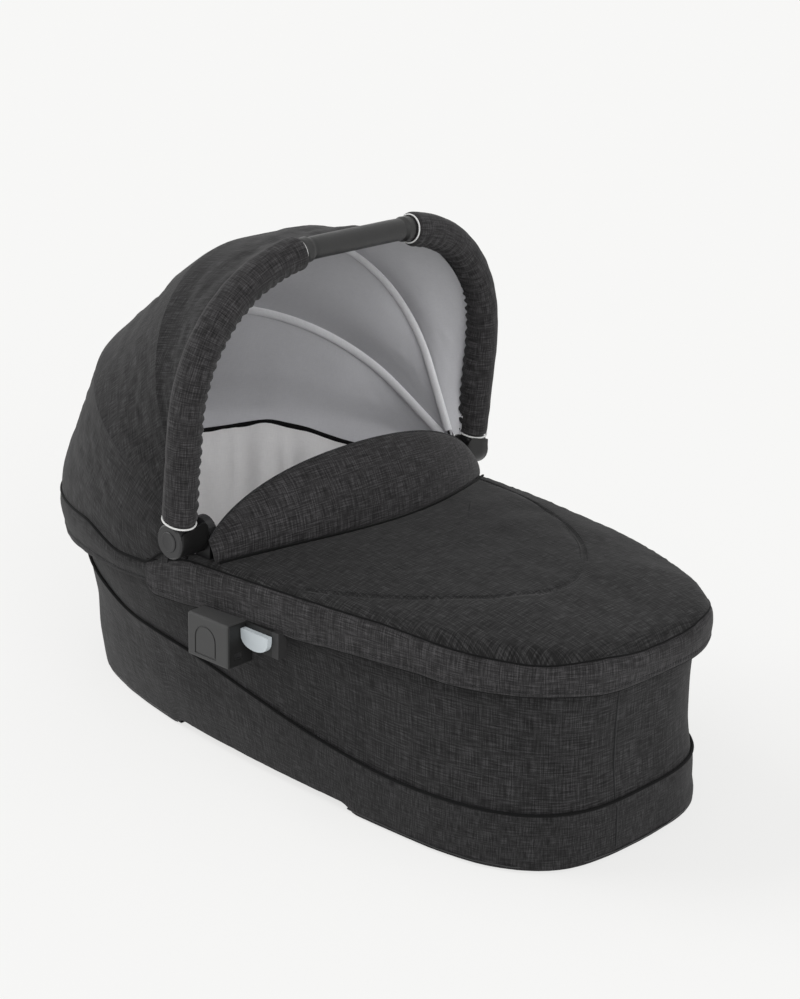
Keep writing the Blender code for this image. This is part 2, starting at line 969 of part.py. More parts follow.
def valance():
    """The apron's skirt: it hangs outside the body, below the rim cover."""
    top = cover_base_lift - gap
    middle = -valance_depth / 2
    inner = valance_inset + valance_thickness
    profile = (
        (valance_inset, top),
        (valance_inset - valance_flare, middle),
        (valance_inset - valance_flare, -valance_depth),
        (inner - valance_flare, -valance_depth),
        (inner - valance_flare, middle),
        (inner, top),
    )
    return strip_solid("valance", profile, valance_end_x, valance_count, charcoal_cloth())


def flap_rise(y):
    """Height of the wind flap along its seam."""
    share = min(abs(y) / flap_half_width, 1)
    along, up = flap_powers
    return flap_edge + (flap_height - flap_edge) * (1 - share**along) ** up


def flap_hinge():
    """The axis the wind flap folds about: the front of its foot, in the middle."""
    x = flap_apex_x + flap_seat
    return Vector((x - flap_edge * math.cos(flap_lean), 0, apron_z(x, 0) + apron_thickness + gap))


def wind_flap():
    """The crescent that stands up at the apron's edge, padded and leaning to the head end."""
    lean = Vector((-math.sin(flap_lean), 0, math.cos(flap_lean)))
    normal = Vector((math.cos(flap_lean), 0, math.sin(flap_lean)))
    section_shares = (
        (0.0, -0.5),
        (0.5, -0.62),
        (0.93, -0.4),
        (1.0, 0.0),
        (0.93, 0.4),
        (0.5, 0.5),
        (0.0, 0.0),
    )
    rows = []
    for k in range(flap_count + 1):
        y = flap_half_width * math.sin(math.pi / 2 * (2 * k / flap_count - 1))
        x = flap_line_x(y) + flap_seat
        foot = Vector((x, y, apron_z(x, y) + apron_thickness + gap))
        height = flap_rise(y)
        depth = min(flap_thickness, height)
        back = flap_edge / flap_thickness
        row = []
        for rise, across in section_shares:
            row.append(foot + lean * height * rise + normal * depth * (across - back))
        lift = [max(foot.z - point.z, 0) for point in row]
        rows.append([(point.x, point.y, point.z + up) for point, up in zip(row, lift)])
    return loft("wind_flap", rows, charcoal_cloth(), smooth=60)


# Stays


def half_at(ring, x):
    """Half the width of a ring of points at a place along the cot."""
    side = ring[: len(ring) // 2 + 1]
    for a, b in zip(side, side[1:]):
        if b[0] <= x <= a[0] and a[0] > b[0]:
            return a[1] + (b[1] - a[1]) * (a[0] - x) / (a[0] - b[0])
    return 0.0


def cavity_middle(x, z):
    """Half the width at which a wire runs midway between the body's wall and its liner."""
    wall = half_at(wall_ring(z, wall_thickness), x)
    share = (z - liner_bottom) / (rim_height - liner_bottom)
    low = half_width_at("base", liner_bottom_inset, x)
    high = half_width_at("rim", liner_top_inset, x)
    return (wall + low + (high - low) * max(share, 0)) / 2


def stay_geometry(end):
    """Pivot x and height, the ends of a stay's bar, the leg's half width at the pivot, and the clip's."""
    pivot_x = head_stay_x if end == "head" else foot_stay_x
    sense = 1 if end == "head" else -1
    pivot_z = rim_z(pivot_x) - stay_pivot_drop
    bar_z = tray_floor_height + gap + stay_wire_radius
    bar_x = pivot_x + sense * (pivot_z - bar_z) * math.tan(stay_slant)
    bar_half = half_at(wall_ring(bar_z, wall_thickness + slip_gap + tray_wall), bar_x) - stay_bar_clearance
    corner_x = pivot_x - sense * clip_length / 2
    clip_outer = half_at(wall_ring(pivot_z, wall_thickness), corner_x) - clip_wall_clearance
    clip_inner = clip_outer - clip_width
    return pivot_x, pivot_z, bar_x, bar_z, bar_half, clip_inner - gap - stay_hook_corner, clip_inner


def rounded(points, radius, steps=3):
    """A path with its inner corners rounded by quadratic arcs."""
    found = [Vector(points[0])]
    for before, corner, after in zip(points, points[1:], points[2:]):
        before, corner, after = Vector(before), Vector(corner), Vector(after)
        start = corner + (before - corner).normalized() * radius
        end = corner + (after - corner).normalized() * radius
        for k in range(steps + 1):
            t = k / steps
            found.append(start * (1 - t) ** 2 + corner * 2 * t * (1 - t) + end * t**2)
    found.append(Vector(points[-1]))
    return found


def stay(end):
    """A wire frame: hooked ends in the rim's clips, two slanting legs and a bar across the tray."""
    pivot_x, pivot_z, bar_x, bar_z, bar_half, top_half, clip_inner = stay_geometry(end)
    leg = []
    for share in stay_bow_shares:
        x, z = pivot_x + (bar_x - pivot_x) * share, pivot_z + (bar_z - pivot_z) * share
        leg.append((x, cavity_middle(x, z), z))
    top = (pivot_x, top_half, pivot_z)
    low = (bar_x, bar_half, bar_z)
    hook = rounded([(pivot_x, clip_inner + clip_width, pivot_z), top, leg[0]], stay_hook_corner)[:-1]
    foot = rounded([leg[-1], low, (bar_x, -bar_half, bar_z)], stay_corner)[1:-1]
    side = hook + [Vector(point) for point in leg] + foot
    path = side + [Vector((p.x, -p.y, p.z)) for p in reversed(side)]
    return tube(f"stay_{end}", path, stay_wire_radius, steel(), resolution=1)


def stay_clip(name, end):
    """A clip on the rim tube with a bore for the stay's hooked end."""
    pivot_x, pivot_z, bar_x, bar_z, bar_half, top_half, inner_y = stay_geometry(end)
    low_z = pivot_z - stay_wire_radius - clip_wall
    high_z = rim_z(pivot_x) - rim_tube_drop - rim_tube_radius / 2
    low = (pivot_x - clip_length / 2, inner_y, low_z)
    high = (pivot_x + clip_length / 2, inner_y + clip_width, high_z)
    clip = box(name, low, high, black_plastic())
    cut(clip, rim_clearance(name + "_rim"))
    bore_from = (pivot_x, inner_y - overrun, pivot_z)
    bore_to = (pivot_x, inner_y + clip_width + overrun, pivot_z)
    return cut(clip, cylinder(name + "_bore", bore_from, bore_to, stay_wire_radius + slip_gap, count=12))


# Hub and handle


hub = Vector((hub_x, 0, hub_height))


def shoe_outer_y():
    """How far out the mount's shoe reaches: just inside the leaning wall."""
    low_z = rim_height - rim_tube_drop - rim_tube_radius - clip_wall
    top = half_width_at("rim", wall_set_back + wall_thickness, hub_x)
    bottom = half_width_at("base", wall_thickness, hub_x)
    return bottom + (top - bottom) * low_z / rim_height - mount_wall_clearance


def hub_mount(name):
    """The moulding that clamps the rim tube and carries the handle's pin."""
    low_z = rim_height - rim_tube_drop - rim_tube_radius - clip_wall
    outline = []
    for k in range(fine_count // 2 + 1):
        angle = math.pi * k / (fine_count // 2)
        outline.append((mount_radius * math.cos(angle), mount_radius * math.sin(angle)))
    foot_z = low_z - hub_height
    outline += [(-mount_foot_half, foot_z), (mount_foot_half, foot_z)]
    cheek = plate(name, outline, mount_thickness, black_plastic())
    middle_y = mount_inner_y + mount_thickness / 2
    stood(cheek, (hub_x, middle_y, hub_height), (1, 0, 0), (0, 0, 1))
    shoe_low = (hub_x - mount_foot_half + slip_gap, middle_y, low_z)
    shoe_top = rim_height + wall_top_lift - slip_gap
    shoe_high = (hub_x + mount_foot_half - slip_gap, shoe_outer_y(), shoe_top)
    join(cheek, box(name + "_shoe", shoe_low, shoe_high))
    cut(cheek, rim_clearance(name + "_rim"))
    bore_from = (hub_x, mount_inner_y - overrun, hub_height)
    bore_to = (hub_x, mount_inner_y + mount_thickness + overrun, hub_height)
    return cut(cheek, cylinder(name + "_bore", bore_from, bore_to, pin_radius + gap))


def hub_pin(name):
    """The pin that the handle turns on."""
    pin_end = knob_inner_y + pin_depth
    start, end = (hub_x, mount_inner_y, hub_height), (hub_x, pin_end, hub_height)
    return cylinder(name, start, end, pin_radius, steel())


def bow_direction(angle):
    """A direction square to the hub's axis: 0 points to the head end, 90 degrees points up."""
    return Vector((-math.cos(angle), 0, math.sin(angle)))


bow_angle = math.pi / 2 + bow_lean


def handle_hub(name):
    """The knob at the handle's foot: pin bore, button well, and a neck that takes the bow's tube."""
    floor_y = knob_outer_y - button_well
    profile = [
        (0, knob_inner_y + pin_depth + gap),
        (pin_radius + gap, knob_inner_y + pin_depth + gap),
        (pin_radius + gap, knob_inner_y),
        (knob_boss_radius, knob_inner_y),
        (knob_boss_radius, knob_shoulder_y),
        (knob_radius - knob_edge, knob_shoulder_y),
        (knob_radius, knob_shoulder_y + knob_edge),
        (knob_radius, knob_outer_y - knob_edge),
        (knob_radius - knob_edge, knob_outer_y),
        (button_radius + gap, knob_outer_y),
        (button_radius + gap, floor_y),
        (0, floor_y),
    ]
    knob = turned(name, [(radius, y) for radius, y in reversed(profile)], black_plastic())
    knob.data.transform(Matrix.Translation((hub_x, 0, hub_height)))
    up = bow_direction(bow_angle)
    middle = Vector((hub_x, leg_y, hub_height))
    neck_foot = middle + up * (button_radius + button_proud)
    join(knob, cylinder(name + "_neck", neck_foot, middle + up * neck_length, neck_radius))
    bore_from = middle + up * (bow_tube_foot - gap)
    bore_to = middle + up * (neck_length + overrun)
    return cut(knob, cylinder(name + "_tube_bore", bore_from, bore_to, bow_tube_radius + gap, count=12))


def hub_button(name):
    """The push button in the knob's face."""
    outer = knob_outer_y + button_proud
    inner = outer - button_length
    dish = button_proud / 2
    profile = [
        (0, outer - dish),
        (button_radius * button_dish_shares[0], outer - dish / 2),
        (button_radius * button_dish_shares[1], outer),
        (button_radius - dish, outer),
        (button_radius, outer - dish),
        (button_radius, inner),
        (0, inner),
    ]
    button = turned(name, profile, black_plastic(), 24)
    button.data.transform(Matrix.Translation((hub_x, 0, hub_height)))
    return button


def bow_line(from_radius, half, radius, corner, share, steps=9):
    """Half of a U in (radius, y): a straight leg from the hub, a superellipse corner and a flat top."""
    line = [(from_radius, half), (radius - corner, half)]
    for k in range(1, steps + 1):
        angle = math.pi / 2 * k / steps
        rise = corner * power(math.sin(angle), 2 / share)
        line.append((radius - corner + rise, half - corner + corner * power(math.cos(angle), 2 / share)))
    line.append((radius, 0.0))
    return line


def bow_stations():
    """The handle's centre line in (radius, y), from the left foot over the top to the right foot."""
    half = bow_line(bow_tube_foot, leg_y, bow_radius, bow_corner, bow_power_share, bow_steps)
    whole = half + [(radius, -y) for radius, y in reversed(half[:-1])]
    return spread(whole, bow_count)


def bow_path(start=0.0, end=1.0):
    """The stretch of the handle's centre line between two shares of its length. The padding and the
    tube inside it use the same stations, so that they stay concentric."""
    line = bow_stations()
    last = len(line) - 1
    found = []
    for share in (start, end):
        k = min(int(share * last), last - 1)
        found.append(between(line[k], line[k + 1], share * last - k))
    low, high = start * last + station_clearance, end * last - station_clearance
    inner = [line[k] for k in range(last + 1) if low < k < high]
    up = bow_direction(bow_angle)
    return [hub + up * radius + Vector((0, y, 0)) for radius, y in [found[0], *inner, found[1]]]


def bow_share(radius=None, y=None):
    """How far along the centre line, on its left half, it passes a radius or a distance across."""
    line = bow_stations()
    last = len(line) - 1
    for k in range(last):
        (r0, y0), (r1, y1) = line[k], line[k + 1]
        if radius is not None and r0 <= radius <= r1:
            return (k + (radius - r0) / (r1 - r0)) / last
        if y is not None and y1 <= y <= y0 and y0 > y1:
            return (k + (y0 - y) / (y0 - y1)) / last
    return 0.5


def grip_share():
    """Where the grip starts, as a share of the centre line: halfway between two stations."""
    last = bow_count - 1
    return (math.floor(bow_share(y=grip_half) * last) + 0.5) / last


def swept(name, path, sizes, bore, finish, count=12):
    """A round padded tube with a bore along a path. Sizes are its outer radii along the path."""
    side = bow_direction(bow_angle - math.pi / 2)
    outer, inner = [], []
    last = len(path) - 1
    for k, point in enumerate(path):
        along = (path[min(k + 1, last)] - path[max(k - 1, 0)]).normalized()
        across = along.cross(side).normalized()
        for radius, rings in ((sizes[k], outer), (bore, inner)):
            ring = []
            for i in range(count):
                angle = 2 * math.pi * i / count
                ring.append(point + side * radius * math.cos(angle) + across * radius * math.sin(angle))
            rings.append(ring)
    return loft(name, outer + inner[::-1], finish, round_trip=True, smooth=50)


def bow_tube():
    """The bent tube of the carry handle."""
    return tube("bow_tube", bow_path(), bow_tube_radius, aluminium())


def bow_sleeve(name):
    """The padded sleeve on one side of the bow, from the knob's neck to the grip."""
    line = bow_stations()
    length = sum(math.dist(a, b) for a, b in zip(line, line[1:]))
    path = bow_path(bow_share(radius=sleeve_start), grip_share() - gap / length)
    shares = [sleeve_mouth_share] + [1.0] * (len(path) - 2) + [sleeve_mouth_share]
    sizes = [sleeve_radius * share for share in shares]
    return swept(name, path, sizes, bow_tube_radius + gap, charcoal_cloth(), 12)


def carry_grip():
    """The grip in the middle of the bow, with rounded ends."""
    path = bow_path(grip_share(), 1 - grip_share())
    ends = (path[0], path[0] + (path[1] - path[0]).normalized() * grip_end)
    tail = (path[-1] + (path[-2] - path[-1]).normalized() * grip_end, path[-1])
    whole = [ends[0], ends[1], *path[1:-1], tail[0], tail[1]]
    sizes = [grip_radius - grip_end / 2] + [grip_radius] * (len(whole) - 2) + [grip_radius - grip_end / 2]
    return swept("carry_grip", whole, sizes, bow_tube_radius + gap, black_leather(), 12)


# Canopy


def panel_inset(order):
    """How far a panel lies inside the outermost one, which is order 0."""
    return order * panel_pitch


def canopy_line(order, angle, depth, count):
    """Half of a panel's section at an angle: the bow's U in front, the rim's plan at the back."""
    inset = panel_inset(order) + depth
    radius = front_panel_radius + 3 * panel_pitch - inset
    half = rim_half_width - inset
    bow = bow_line(panel_start, half, radius, canopy_corner, canopy_corner_power_share, arc_count + 4)
    bow = spread(bow, count)
    rim = [point for point in side_line("rim", inset) if point[0] <= hub_x - panel_start]
    plan = spread([(hub_x - x, y) for x, y in rim], count)
    swell = (min(max(swell_from - angle, 0), swell_from) / swell_from) ** swell_power_share
    return [(a[0] + (b[0] - a[0]) * swell, a[1] + (b[1] - a[1]) * swell) for a, b in zip(bow, plan)]


def edge_angle(radius, angle, offset):
    """The angle at which a line set back from a radius crosses a circle round the hub."""
    return angle - math.asin(min(offset / radius, 1))


def seat_angle(radius):
    """The angle at which the rearmost panel meets the top of the rim cover."""
    angle = 0.0
    for _ in range(6):
        height = rim_z(hub_x - radius * math.cos(angle)) + cover_top_lift + canopy_seat_gap
        angle = -math.asin(min(max((hub_height - height) / radius, -1), 1))
    return angle


def panel_points(order, depth, count, rows):
    """A grid of points on a panel's face. Order 0 stands on the rim, and 3 is next to the handle."""
    front = bow_angle - (3 - order) * panel_step
    back = front - panel_step
    grid = []
    for row in range(rows + 1):
        line = []
        for k in range(count):
            radius = canopy_line(order, front, depth, count)[k][0]
            last = edge_angle(radius, front, panel_front_offset)
            if order == 0:
                reach = canopy_line(order, 0.0, depth, count)[k][0]
                first = seat_angle(reach)
            else:
                first = edge_angle(radius, back, panel_front_offset + panel_overlap)
            angle = first + (last - first) * row / rows
            out, y = canopy_line(order, angle, depth, count)[k]
            line.append((angle, out, y))
        whole = line + [(angle, out, -y) for angle, out, y in reversed(line[:-1])]
        grid.append([hub + bow_direction(angle) * out + Vector((0, y, 0)) for angle, out, y in whole])
    return grid


def canopy_panel(name, order):
    """One curved panel of the hood: a thin shell that slides inside the one behind it."""
    outer = panel_points(order, 0.0, panel_count, panel_rows)
    inner = panel_points(order, panel_thickness, panel_count, panel_rows)
    loops = []
    for k in range(len(outer[0])):
        loops.append([row[k] for row in outer] + [row[k] for row in reversed(inner)])
    return loft(name, loops, charcoal_cloth(), smooth=50)


def canopy_hem():
    """The flat hem that ties the front panel's edge to the handle's padding, over the top of the arch."""
    low = panel_front_offset - gap - hem_thickness
    chord = math.sqrt(sleeve_radius**2 - low**2) + gap
    outer = canopy_line(3, bow_angle, 0.0, hem_count)
    inner = canopy_line(3, bow_angle, panel_thickness, hem_count)
    bow = bow_line(panel_start, leg_y, bow_radius, bow_corner, bow_power_share, bow_steps)
    bow = spread(bow, bow_fine_count)
    line = []
    for (radius, y), (near, near_y) in zip(outer, inner):
        if radius < hem_start:
            continue
        to_radius, to_y = min(bow, key=lambda place: math.dist(place, (radius, y)))
        reach = math.dist((to_radius, to_y), (radius, y))
        share = max(reach - chord, hem_least) / max(reach, gap)
        line.append(((near, near_y), (radius + (to_radius - radius) * share, y + (to_y - y) * share)))
    whole = line + [((a, -b), (c, -d)) for (a, b), (c, d) in reversed(line[:-1])]
    back = bow_direction(bow_angle - math.pi / 2)
    up = bow_direction(bow_angle)
    loops = []
    for edge, tip in whole:
        corners = ((edge, low), (tip, low), (tip, low + hem_thickness), (edge, low + hem_thickness))
        loop = []
        for (radius, y), set_back in corners:
            loop.append(hub + up * radius + back * set_back + Vector((0, y, 0)))
        loops.append(loop)
    return loft("canopy_hem", loops, charcoal_cloth())


def rib_line(order, angle, depth):
    """Half of a rib's centre line in (radius, y), on its panel's flat faces where it is under them."""
    line = canopy_line(order, angle, depth, panel_count)
    columns = list(zip(*panel_points(order, depth, panel_count, panel_rows)))
    for k in range(panel_count):
        flat = [(hub_x - p.x, p.z - hub_height, p.y) for p in columns[k]]
        for a, b in zip(flat, flat[1:]):
            side_a = a[1] * math.cos(angle) - a[0] * math.sin(angle)
            side_b = b[1] * math.cos(angle) - b[0] * math.sin(angle)
            if side_a <= 0 <= side_b:
                x, z, y = between(a, b, side_a / (side_a - side_b))
                line[k] = (math.hypot(x, z), y)
    return line


def canopy_rib(name, order, angle):
    """A flat rib inside a panel, from one hub to the other, with an eyelet round each knob's boss."""
    depth = panel_thickness + rib_strip_gap
    rings = []
    start = eyelet_radius - pin_radius / 2
    for inset in (depth, depth + rib_strip_thickness):
        line = rib_line(order, angle, inset)
        line = [(start, line[0][1])] + line
        whole = line + [(out, -y) for out, y in reversed(line[:-1])]
        rings.append(whole)
    side = bow_direction(angle + math.pi / 2)
    out_way = bow_direction(angle)
    loops = []
    for outer, inner in zip(*rings):
        loop = []
        for (radius, y), half in ((outer, -1), (outer, 1), (inner, 1), (inner, -1)):
            loop.append(hub + out_way * radius + Vector((0, y, 0)) + side * half * rib_strip_width / 2)
        loops.append(loop)
    strip = loft(name, loops, black_plastic())
    rib_y = rings[0][0][1]
    for side_name, sign in SIDES:
        near = (hub_x, sign * (rib_y - rib_strip_thickness), hub_height)
        far = (hub_x, sign * rib_y, hub_height)
        join(strip, cylinder(f"{name}_eyelet_{side_name}", near, far, eyelet_radius, count=16))
    bores = []
    for side_name, sign in SIDES:
        near = (hub_x, sign * (rib_y - 2 * rib_strip_thickness), hub_height)
        far = (hub_x, sign * (rib_y + 2 * rib_strip_thickness), hub_height)
        bores.append(cylinder(f"{name}_bore_{side_name}", near, far, knob_boss_radius + slip_gap, count=16))
    return cut(strip, joined_cutters(name + "_bores", bores))


# Chassis adapters


adapter_top = adapter_bottom + adapter_height
adapter_end_x = adapter_x + adapter_width
tail_end_x = adapter_end_x + adapter_tail
lever_x = adapter_end_x + slip_gap
block_to_x = block_from_x + block_width
adapter_inner_y = half_width_at("rim", 0.0, block_to_x) - adapter_lap
adapter_outer_y = adapter_inner_y + adapter_depth
socket_inner_y = adapter_inner_y + socket_set_in
latch_middle_y = socket_inner_y + socket_span / 2
lever_inner_y = adapter_inner_y + adapter_tail_depth + slip_gap


def arch_outline(width, height):
    """A round-topped arch, with its foot in the middle of its base line."""
    radius = width / 2
    outline = [(-radius, 0.0), (radius, 0.0)]
    for k in range(arc_count + 1):
        angle = math.pi * k / arc_count
        outline.append((radius * math.cos(angle), height - radius + radius * math.sin(angle)))
    return outline


def adapter_badge(name):
    """A plain arch-shaped groove on the adapter's face."""
    foot_x = adapter_x + adapter_width / 2 - adapter_chamfer / 2
    foot = (foot_x, adapter_outer_y, adapter_bottom + badge_margin / 2)
    outer = plate(name, arch_outline(badge_width, badge_height), 2 * badge_depth)
    stood(outer, foot, (1, 0, 0), (0, 0, 1))
    inset_foot = (foot[0], foot[1], foot[2] + badge_line)
    island = arch_outline(badge_width - 2 * badge_line, badge_height - 2 * badge_line)
    inner = plate(name + "_island", island, overrun)
    stood(inner, inset_foot, (1, 0, 0), (0, 0, 1))
    return cut(outer, inner)


def adapter(name):
    """The moulded adapter: a socket open below, a block that clamps the rim, and the lever's backplate."""
    low = (adapter_x, adapter_inner_y, adapter_bottom)
    high = (adapter_end_x, adapter_outer_y, adapter_top)
    body = box(name, low, high, black_plastic())
    bevel(body, adapter_chamfer / 3, 2)
    tail_low = (adapter_end_x - overrun, adapter_inner_y, adapter_top - adapter_tail_height)
    tail_high = (tail_end_x, adapter_inner_y + adapter_tail_depth, adapter_top)
    join(body, box(name + "_tail", tail_low, tail_high))
    block_top = rim_height - rim_tube_drop + rim_tube_radius / 2
    block_low = (block_from_x, mount_inner_y, block_bottom)
    block_outer = half_width_at("rim", valance_inset + valance_thickness, block_to_x) - slip_gap
    block_high = (block_to_x, block_outer, block_top)
    join(body, box(name + "_block", block_low, block_high))
    socket_low = (socket_from_x, socket_inner_y, adapter_bottom - overrun)
    socket_to_x = socket_from_x + socket_width
    socket_high = (socket_to_x, socket_inner_y + socket_span, adapter_bottom + socket_depth)
    cut(body, box(name + "_socket", socket_low, socket_high))
    channel_half = latch_width / 2 + gap
    channel_low = (socket_to_x - overrun, latch_middle_y - channel_half, latch_bottom - gap)
    channel_top = latch_bottom + latch_height + gap
    channel_high = (adapter_end_x + overrun, latch_middle_y + channel_half, channel_top)
    cut(body, box(name + "_channel", channel_low, channel_high))
    stem_x = lever_x + lever_width / 2
    slot_half = lever_stem / 2 + gap
    slot_bottom = lever_top - lever_stem_drop - lever_stem - gap
    slot_low = (stem_x - slot_half, adapter_inner_y - overrun, slot_bottom)
    slot_top = lever_top - lever_stem_drop + lever_travel + gap
    slot_far_y = adapter_inner_y + adapter_tail_depth + overrun
    slot_high = (stem_x + slot_half, slot_far_y, slot_top)
    cut(body, box(name + "_slot", slot_low, slot_high))
    cut(body, rim_clearance(name + "_rim"))
    return cut(body, adapter_badge(name + "_badge"))


def latch(name):
    """The tongue that locks the chassis post in the socket, with a slanted lead at its tip."""
    tip_x = socket_from_x + socket_width - latch_tip
    outline = [
        (tip_x, latch_bottom + latch_height),
        (tip_x, latch_bottom + latch_height - latch_tip / 3),
        (tip_x + latch_tip, latch_bottom),
        (tip_x + latch_length, latch_bottom),
        (tip_x + latch_length, latch_bottom + latch_height),
    ]
    tongue = plate(name, outline, latch_width, steel())
    return stood(tongue, (0, latch_middle_y, 0), (1, 0, 0), (0, 0, 1))


def release_lever(name):
    """The crescent that fingers pull up, with a stem in the adapter's slot."""
    outline = []
    for k in range(arc_count + 1):
        angle = math.pi * k / arc_count
        drop = (lever_height - lever_curl) * math.sin(angle) ** lever_curve_power
        outline.append((lever_width / 2 * math.cos(angle), -drop))
    outline = [(x, y - lever_curl) for x, y in outline]
    outline = [(lever_width / 2, 0.0)] + outline + [(-lever_width / 2, 0.0)]
    crescent = plate(name, outline, lever_thickness, pale_plastic())
    middle = (lever_x + lever_width / 2, lever_inner_y + lever_thickness / 2, lever_top)
    stood(crescent, middle, (1, 0, 0), (0, 0, 1))
    bevel(crescent, lever_thickness / 5, 2, 50)
    stem_x = lever_x + lever_width / 2
    stem_top = lever_top - lever_stem_drop
    low = (stem_x - lever_stem / 2, adapter_inner_y + lever_stem / 2, stem_top - lever_stem)
    high = (stem_x + lever_stem / 2, lever_inner_y + lever_thickness / 2, stem_top)
    return join(crescent, box(name + "_stem", low, high))


def set_origin(name, point):
    """Moves a part's origin onto its joint, and leaves the part where it is."""
    thing = bpy.data.objects[name]
    thing.data.transform(Matrix.Translation(-Vector(point)))
    thing.location = point


def place_origins():
    """Each moving part's origin lies on the axis it moves about or along."""
    turning = [f"canopy_panel_{order}" for order in (1, 2, 3)]
    turning += ["canopy_rib_rear", "canopy_rib_front", "canopy_hem"]
    turning += ["bow_tube", "bow_sleeve_left", "bow_sleeve_right", "carry_grip"]
    for name in turning:
        set_origin(name, hub)
    for side, sign in SIDES:
        set_origin(f"handle_hub_{side}", hub)
        set_origin(f"hub_button_{side}", hub + Vector((0, sign * knob_outer_y, 0)))
        set_origin(f"release_lever_{side}", (lever_x + lever_width / 2, sign * lever_inner_y, lever_top))
        set_origin(f"latch_{side}", (socket_from_x + socket_width, sign * latch_middle_y, latch_bottom))
    for end in ("head", "foot"):
        pivot_x, pivot_z = stay_geometry(end)[:2]
        set_origin(f"stay_{end}", (pivot_x, 0, pivot_z))
    set_origin("wind_flap", flap_hinge())


def carrycot():
    base_tray()
    foot_pads()
    base_board()
    mattress()
    side_wall()
    lower_band()
    liner()
    rim_tube()
    rim_cover()
    apron()
    valance()
    wind_flap()
    for end in ("head", "foot"):
        stay(end)
        pair(stay_clip, f"stay_clip_{end}", end)
    pair(hub_mount, "hub_mount")
    pair(hub_pin, "hub_pin")
    pair(handle_hub, "handle_hub")
    pair(hub_button, "hub_button")
    bow_tube()
    pair(bow_sleeve, "bow_sleeve")
    carry_grip()
    for order, name in enumerate(("canopy_rear", "canopy_panel_1", "canopy_panel_2", "canopy_panel_3")):
        canopy_panel(name, order)
    canopy_hem()
    canopy_rib("canopy_rib_rear", 1, rear_rib_angle)
    canopy_rib("canopy_rib_front", 2, front_rib_angle)
    pair(adapter, "adapter")
    pair(latch, "latch")
    pair(release_lever, "release_lever")
    place_origins()


carrycot()
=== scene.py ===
"""The looks of a folding carrycot in charcoal slub cloth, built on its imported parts.

Metres, +Z up. X runs along the cot with the head end at -X, and Y across it.
"""

import math

import bmesh
import bpy
from mathutils import Matrix, Vector, noise


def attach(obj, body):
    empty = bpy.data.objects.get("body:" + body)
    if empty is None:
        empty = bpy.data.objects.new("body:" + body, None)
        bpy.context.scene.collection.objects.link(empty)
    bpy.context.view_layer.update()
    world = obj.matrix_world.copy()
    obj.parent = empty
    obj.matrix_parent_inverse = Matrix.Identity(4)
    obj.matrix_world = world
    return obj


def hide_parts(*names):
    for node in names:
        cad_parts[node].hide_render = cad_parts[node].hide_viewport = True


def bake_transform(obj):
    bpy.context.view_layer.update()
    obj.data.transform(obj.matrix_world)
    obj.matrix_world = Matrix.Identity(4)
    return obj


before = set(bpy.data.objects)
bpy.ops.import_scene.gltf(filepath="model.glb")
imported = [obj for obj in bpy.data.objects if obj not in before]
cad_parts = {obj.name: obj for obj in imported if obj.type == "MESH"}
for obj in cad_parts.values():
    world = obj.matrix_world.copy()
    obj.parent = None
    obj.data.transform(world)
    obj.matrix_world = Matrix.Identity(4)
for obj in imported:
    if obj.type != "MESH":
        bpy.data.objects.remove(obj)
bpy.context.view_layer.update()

# Plan of the body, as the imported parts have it
half_length = 0.4265
rim_half_width = 0.2265
rim_widest_x = 0.273 - half_length
rim_shares = ((1.9, 3.86), (1.9, 2.41))
base_half_width = 0.178
base_widest_x = half_length - 0.2238
base_tips = (half_length - 0.009, 0.0292 - half_length)
base_shares = ((3.3, 2.9), (2.24, 3.0))
hub = Vector((0.3715 - half_length, 0, 0.280))
rim_height = 0.247
rim_dip = 0.012
wall_set_back = 0.0105

# Hood and handle
bow_angle = math.radians(95.6)
bow_radius = 0.305
bow_half = 0.2395
bow_corner = 0.182
bow_power = 2.2
bow_foot = 0.0197
hood_radius = 0.3195
hood_half = 0.2265
hood_swell_from = math.radians(70)
hood_swell_power = 4.0
rear_rib = math.radians(30)
front_rib = math.radians(66)

# Camera, fitted to the photograph
camera_place = Vector((1.7271, -1.8035, 1.159))
camera_back = Vector((0.6422, -0.6914, 0.3309))
camera_up = Vector((-0.2418, 0.2269, 0.9434))
camera_lens = 83.06


# Plan and profile lines


def power(value, share):
    """A power that keeps the sign of its value."""
    return math.copysign(abs(value) ** share, value)


def smooth_step(low, high, value):
    """0 up to low, 1 from high on, and smooth between them."""
    share = min(max((value - low) / (high - low), 0.0), 1.0)
    return share * share * (3 - 2 * share)


def mix(a, b, share):
    """A number on the way from a to b."""
    return a + (b - a) * share


plan_steps = 240


def half_plan(half_width, widest_x, tip_x, shares):
    """Half of a superellipse from its tip to its widest place, on the +Y side."""
    reach = tip_x - widest_x
    found = []
    for k in range(plan_steps + 1):
        angle = math.pi / 2 * (k / plan_steps) ** 2
        x = widest_x + reach * power(math.cos(angle), 2 / shares[0])
        found.append((x, half_width * power(math.sin(angle), 2 / shares[1])))
    found[-1] = (widest_x, half_width)
    return found


def inset_line(line, inset):
    """A line of the +Y side moved inwards along its normals."""
    moved = []
    last = len(line) - 1
    for k, (x, y) in enumerate(line):
        before, after = line[max(k - 1, 0)], line[min(k + 1, last)]
        along = Vector((after[0] - before[0], after[1] - before[1]))
        if k in (0, last):
            along = Vector((0, 1 if k == 0 else -1))
        along.normalize()
        moved.append((x - along.y * inset, max(y + along.x * inset, 0)))
    return moved


plans = {
    "rim": (rim_half_width, rim_widest_x, (half_length, -half_length), rim_shares),
    "base": (base_half_width, base_widest_x, base_tips, base_shares),
}
line_cache = {}


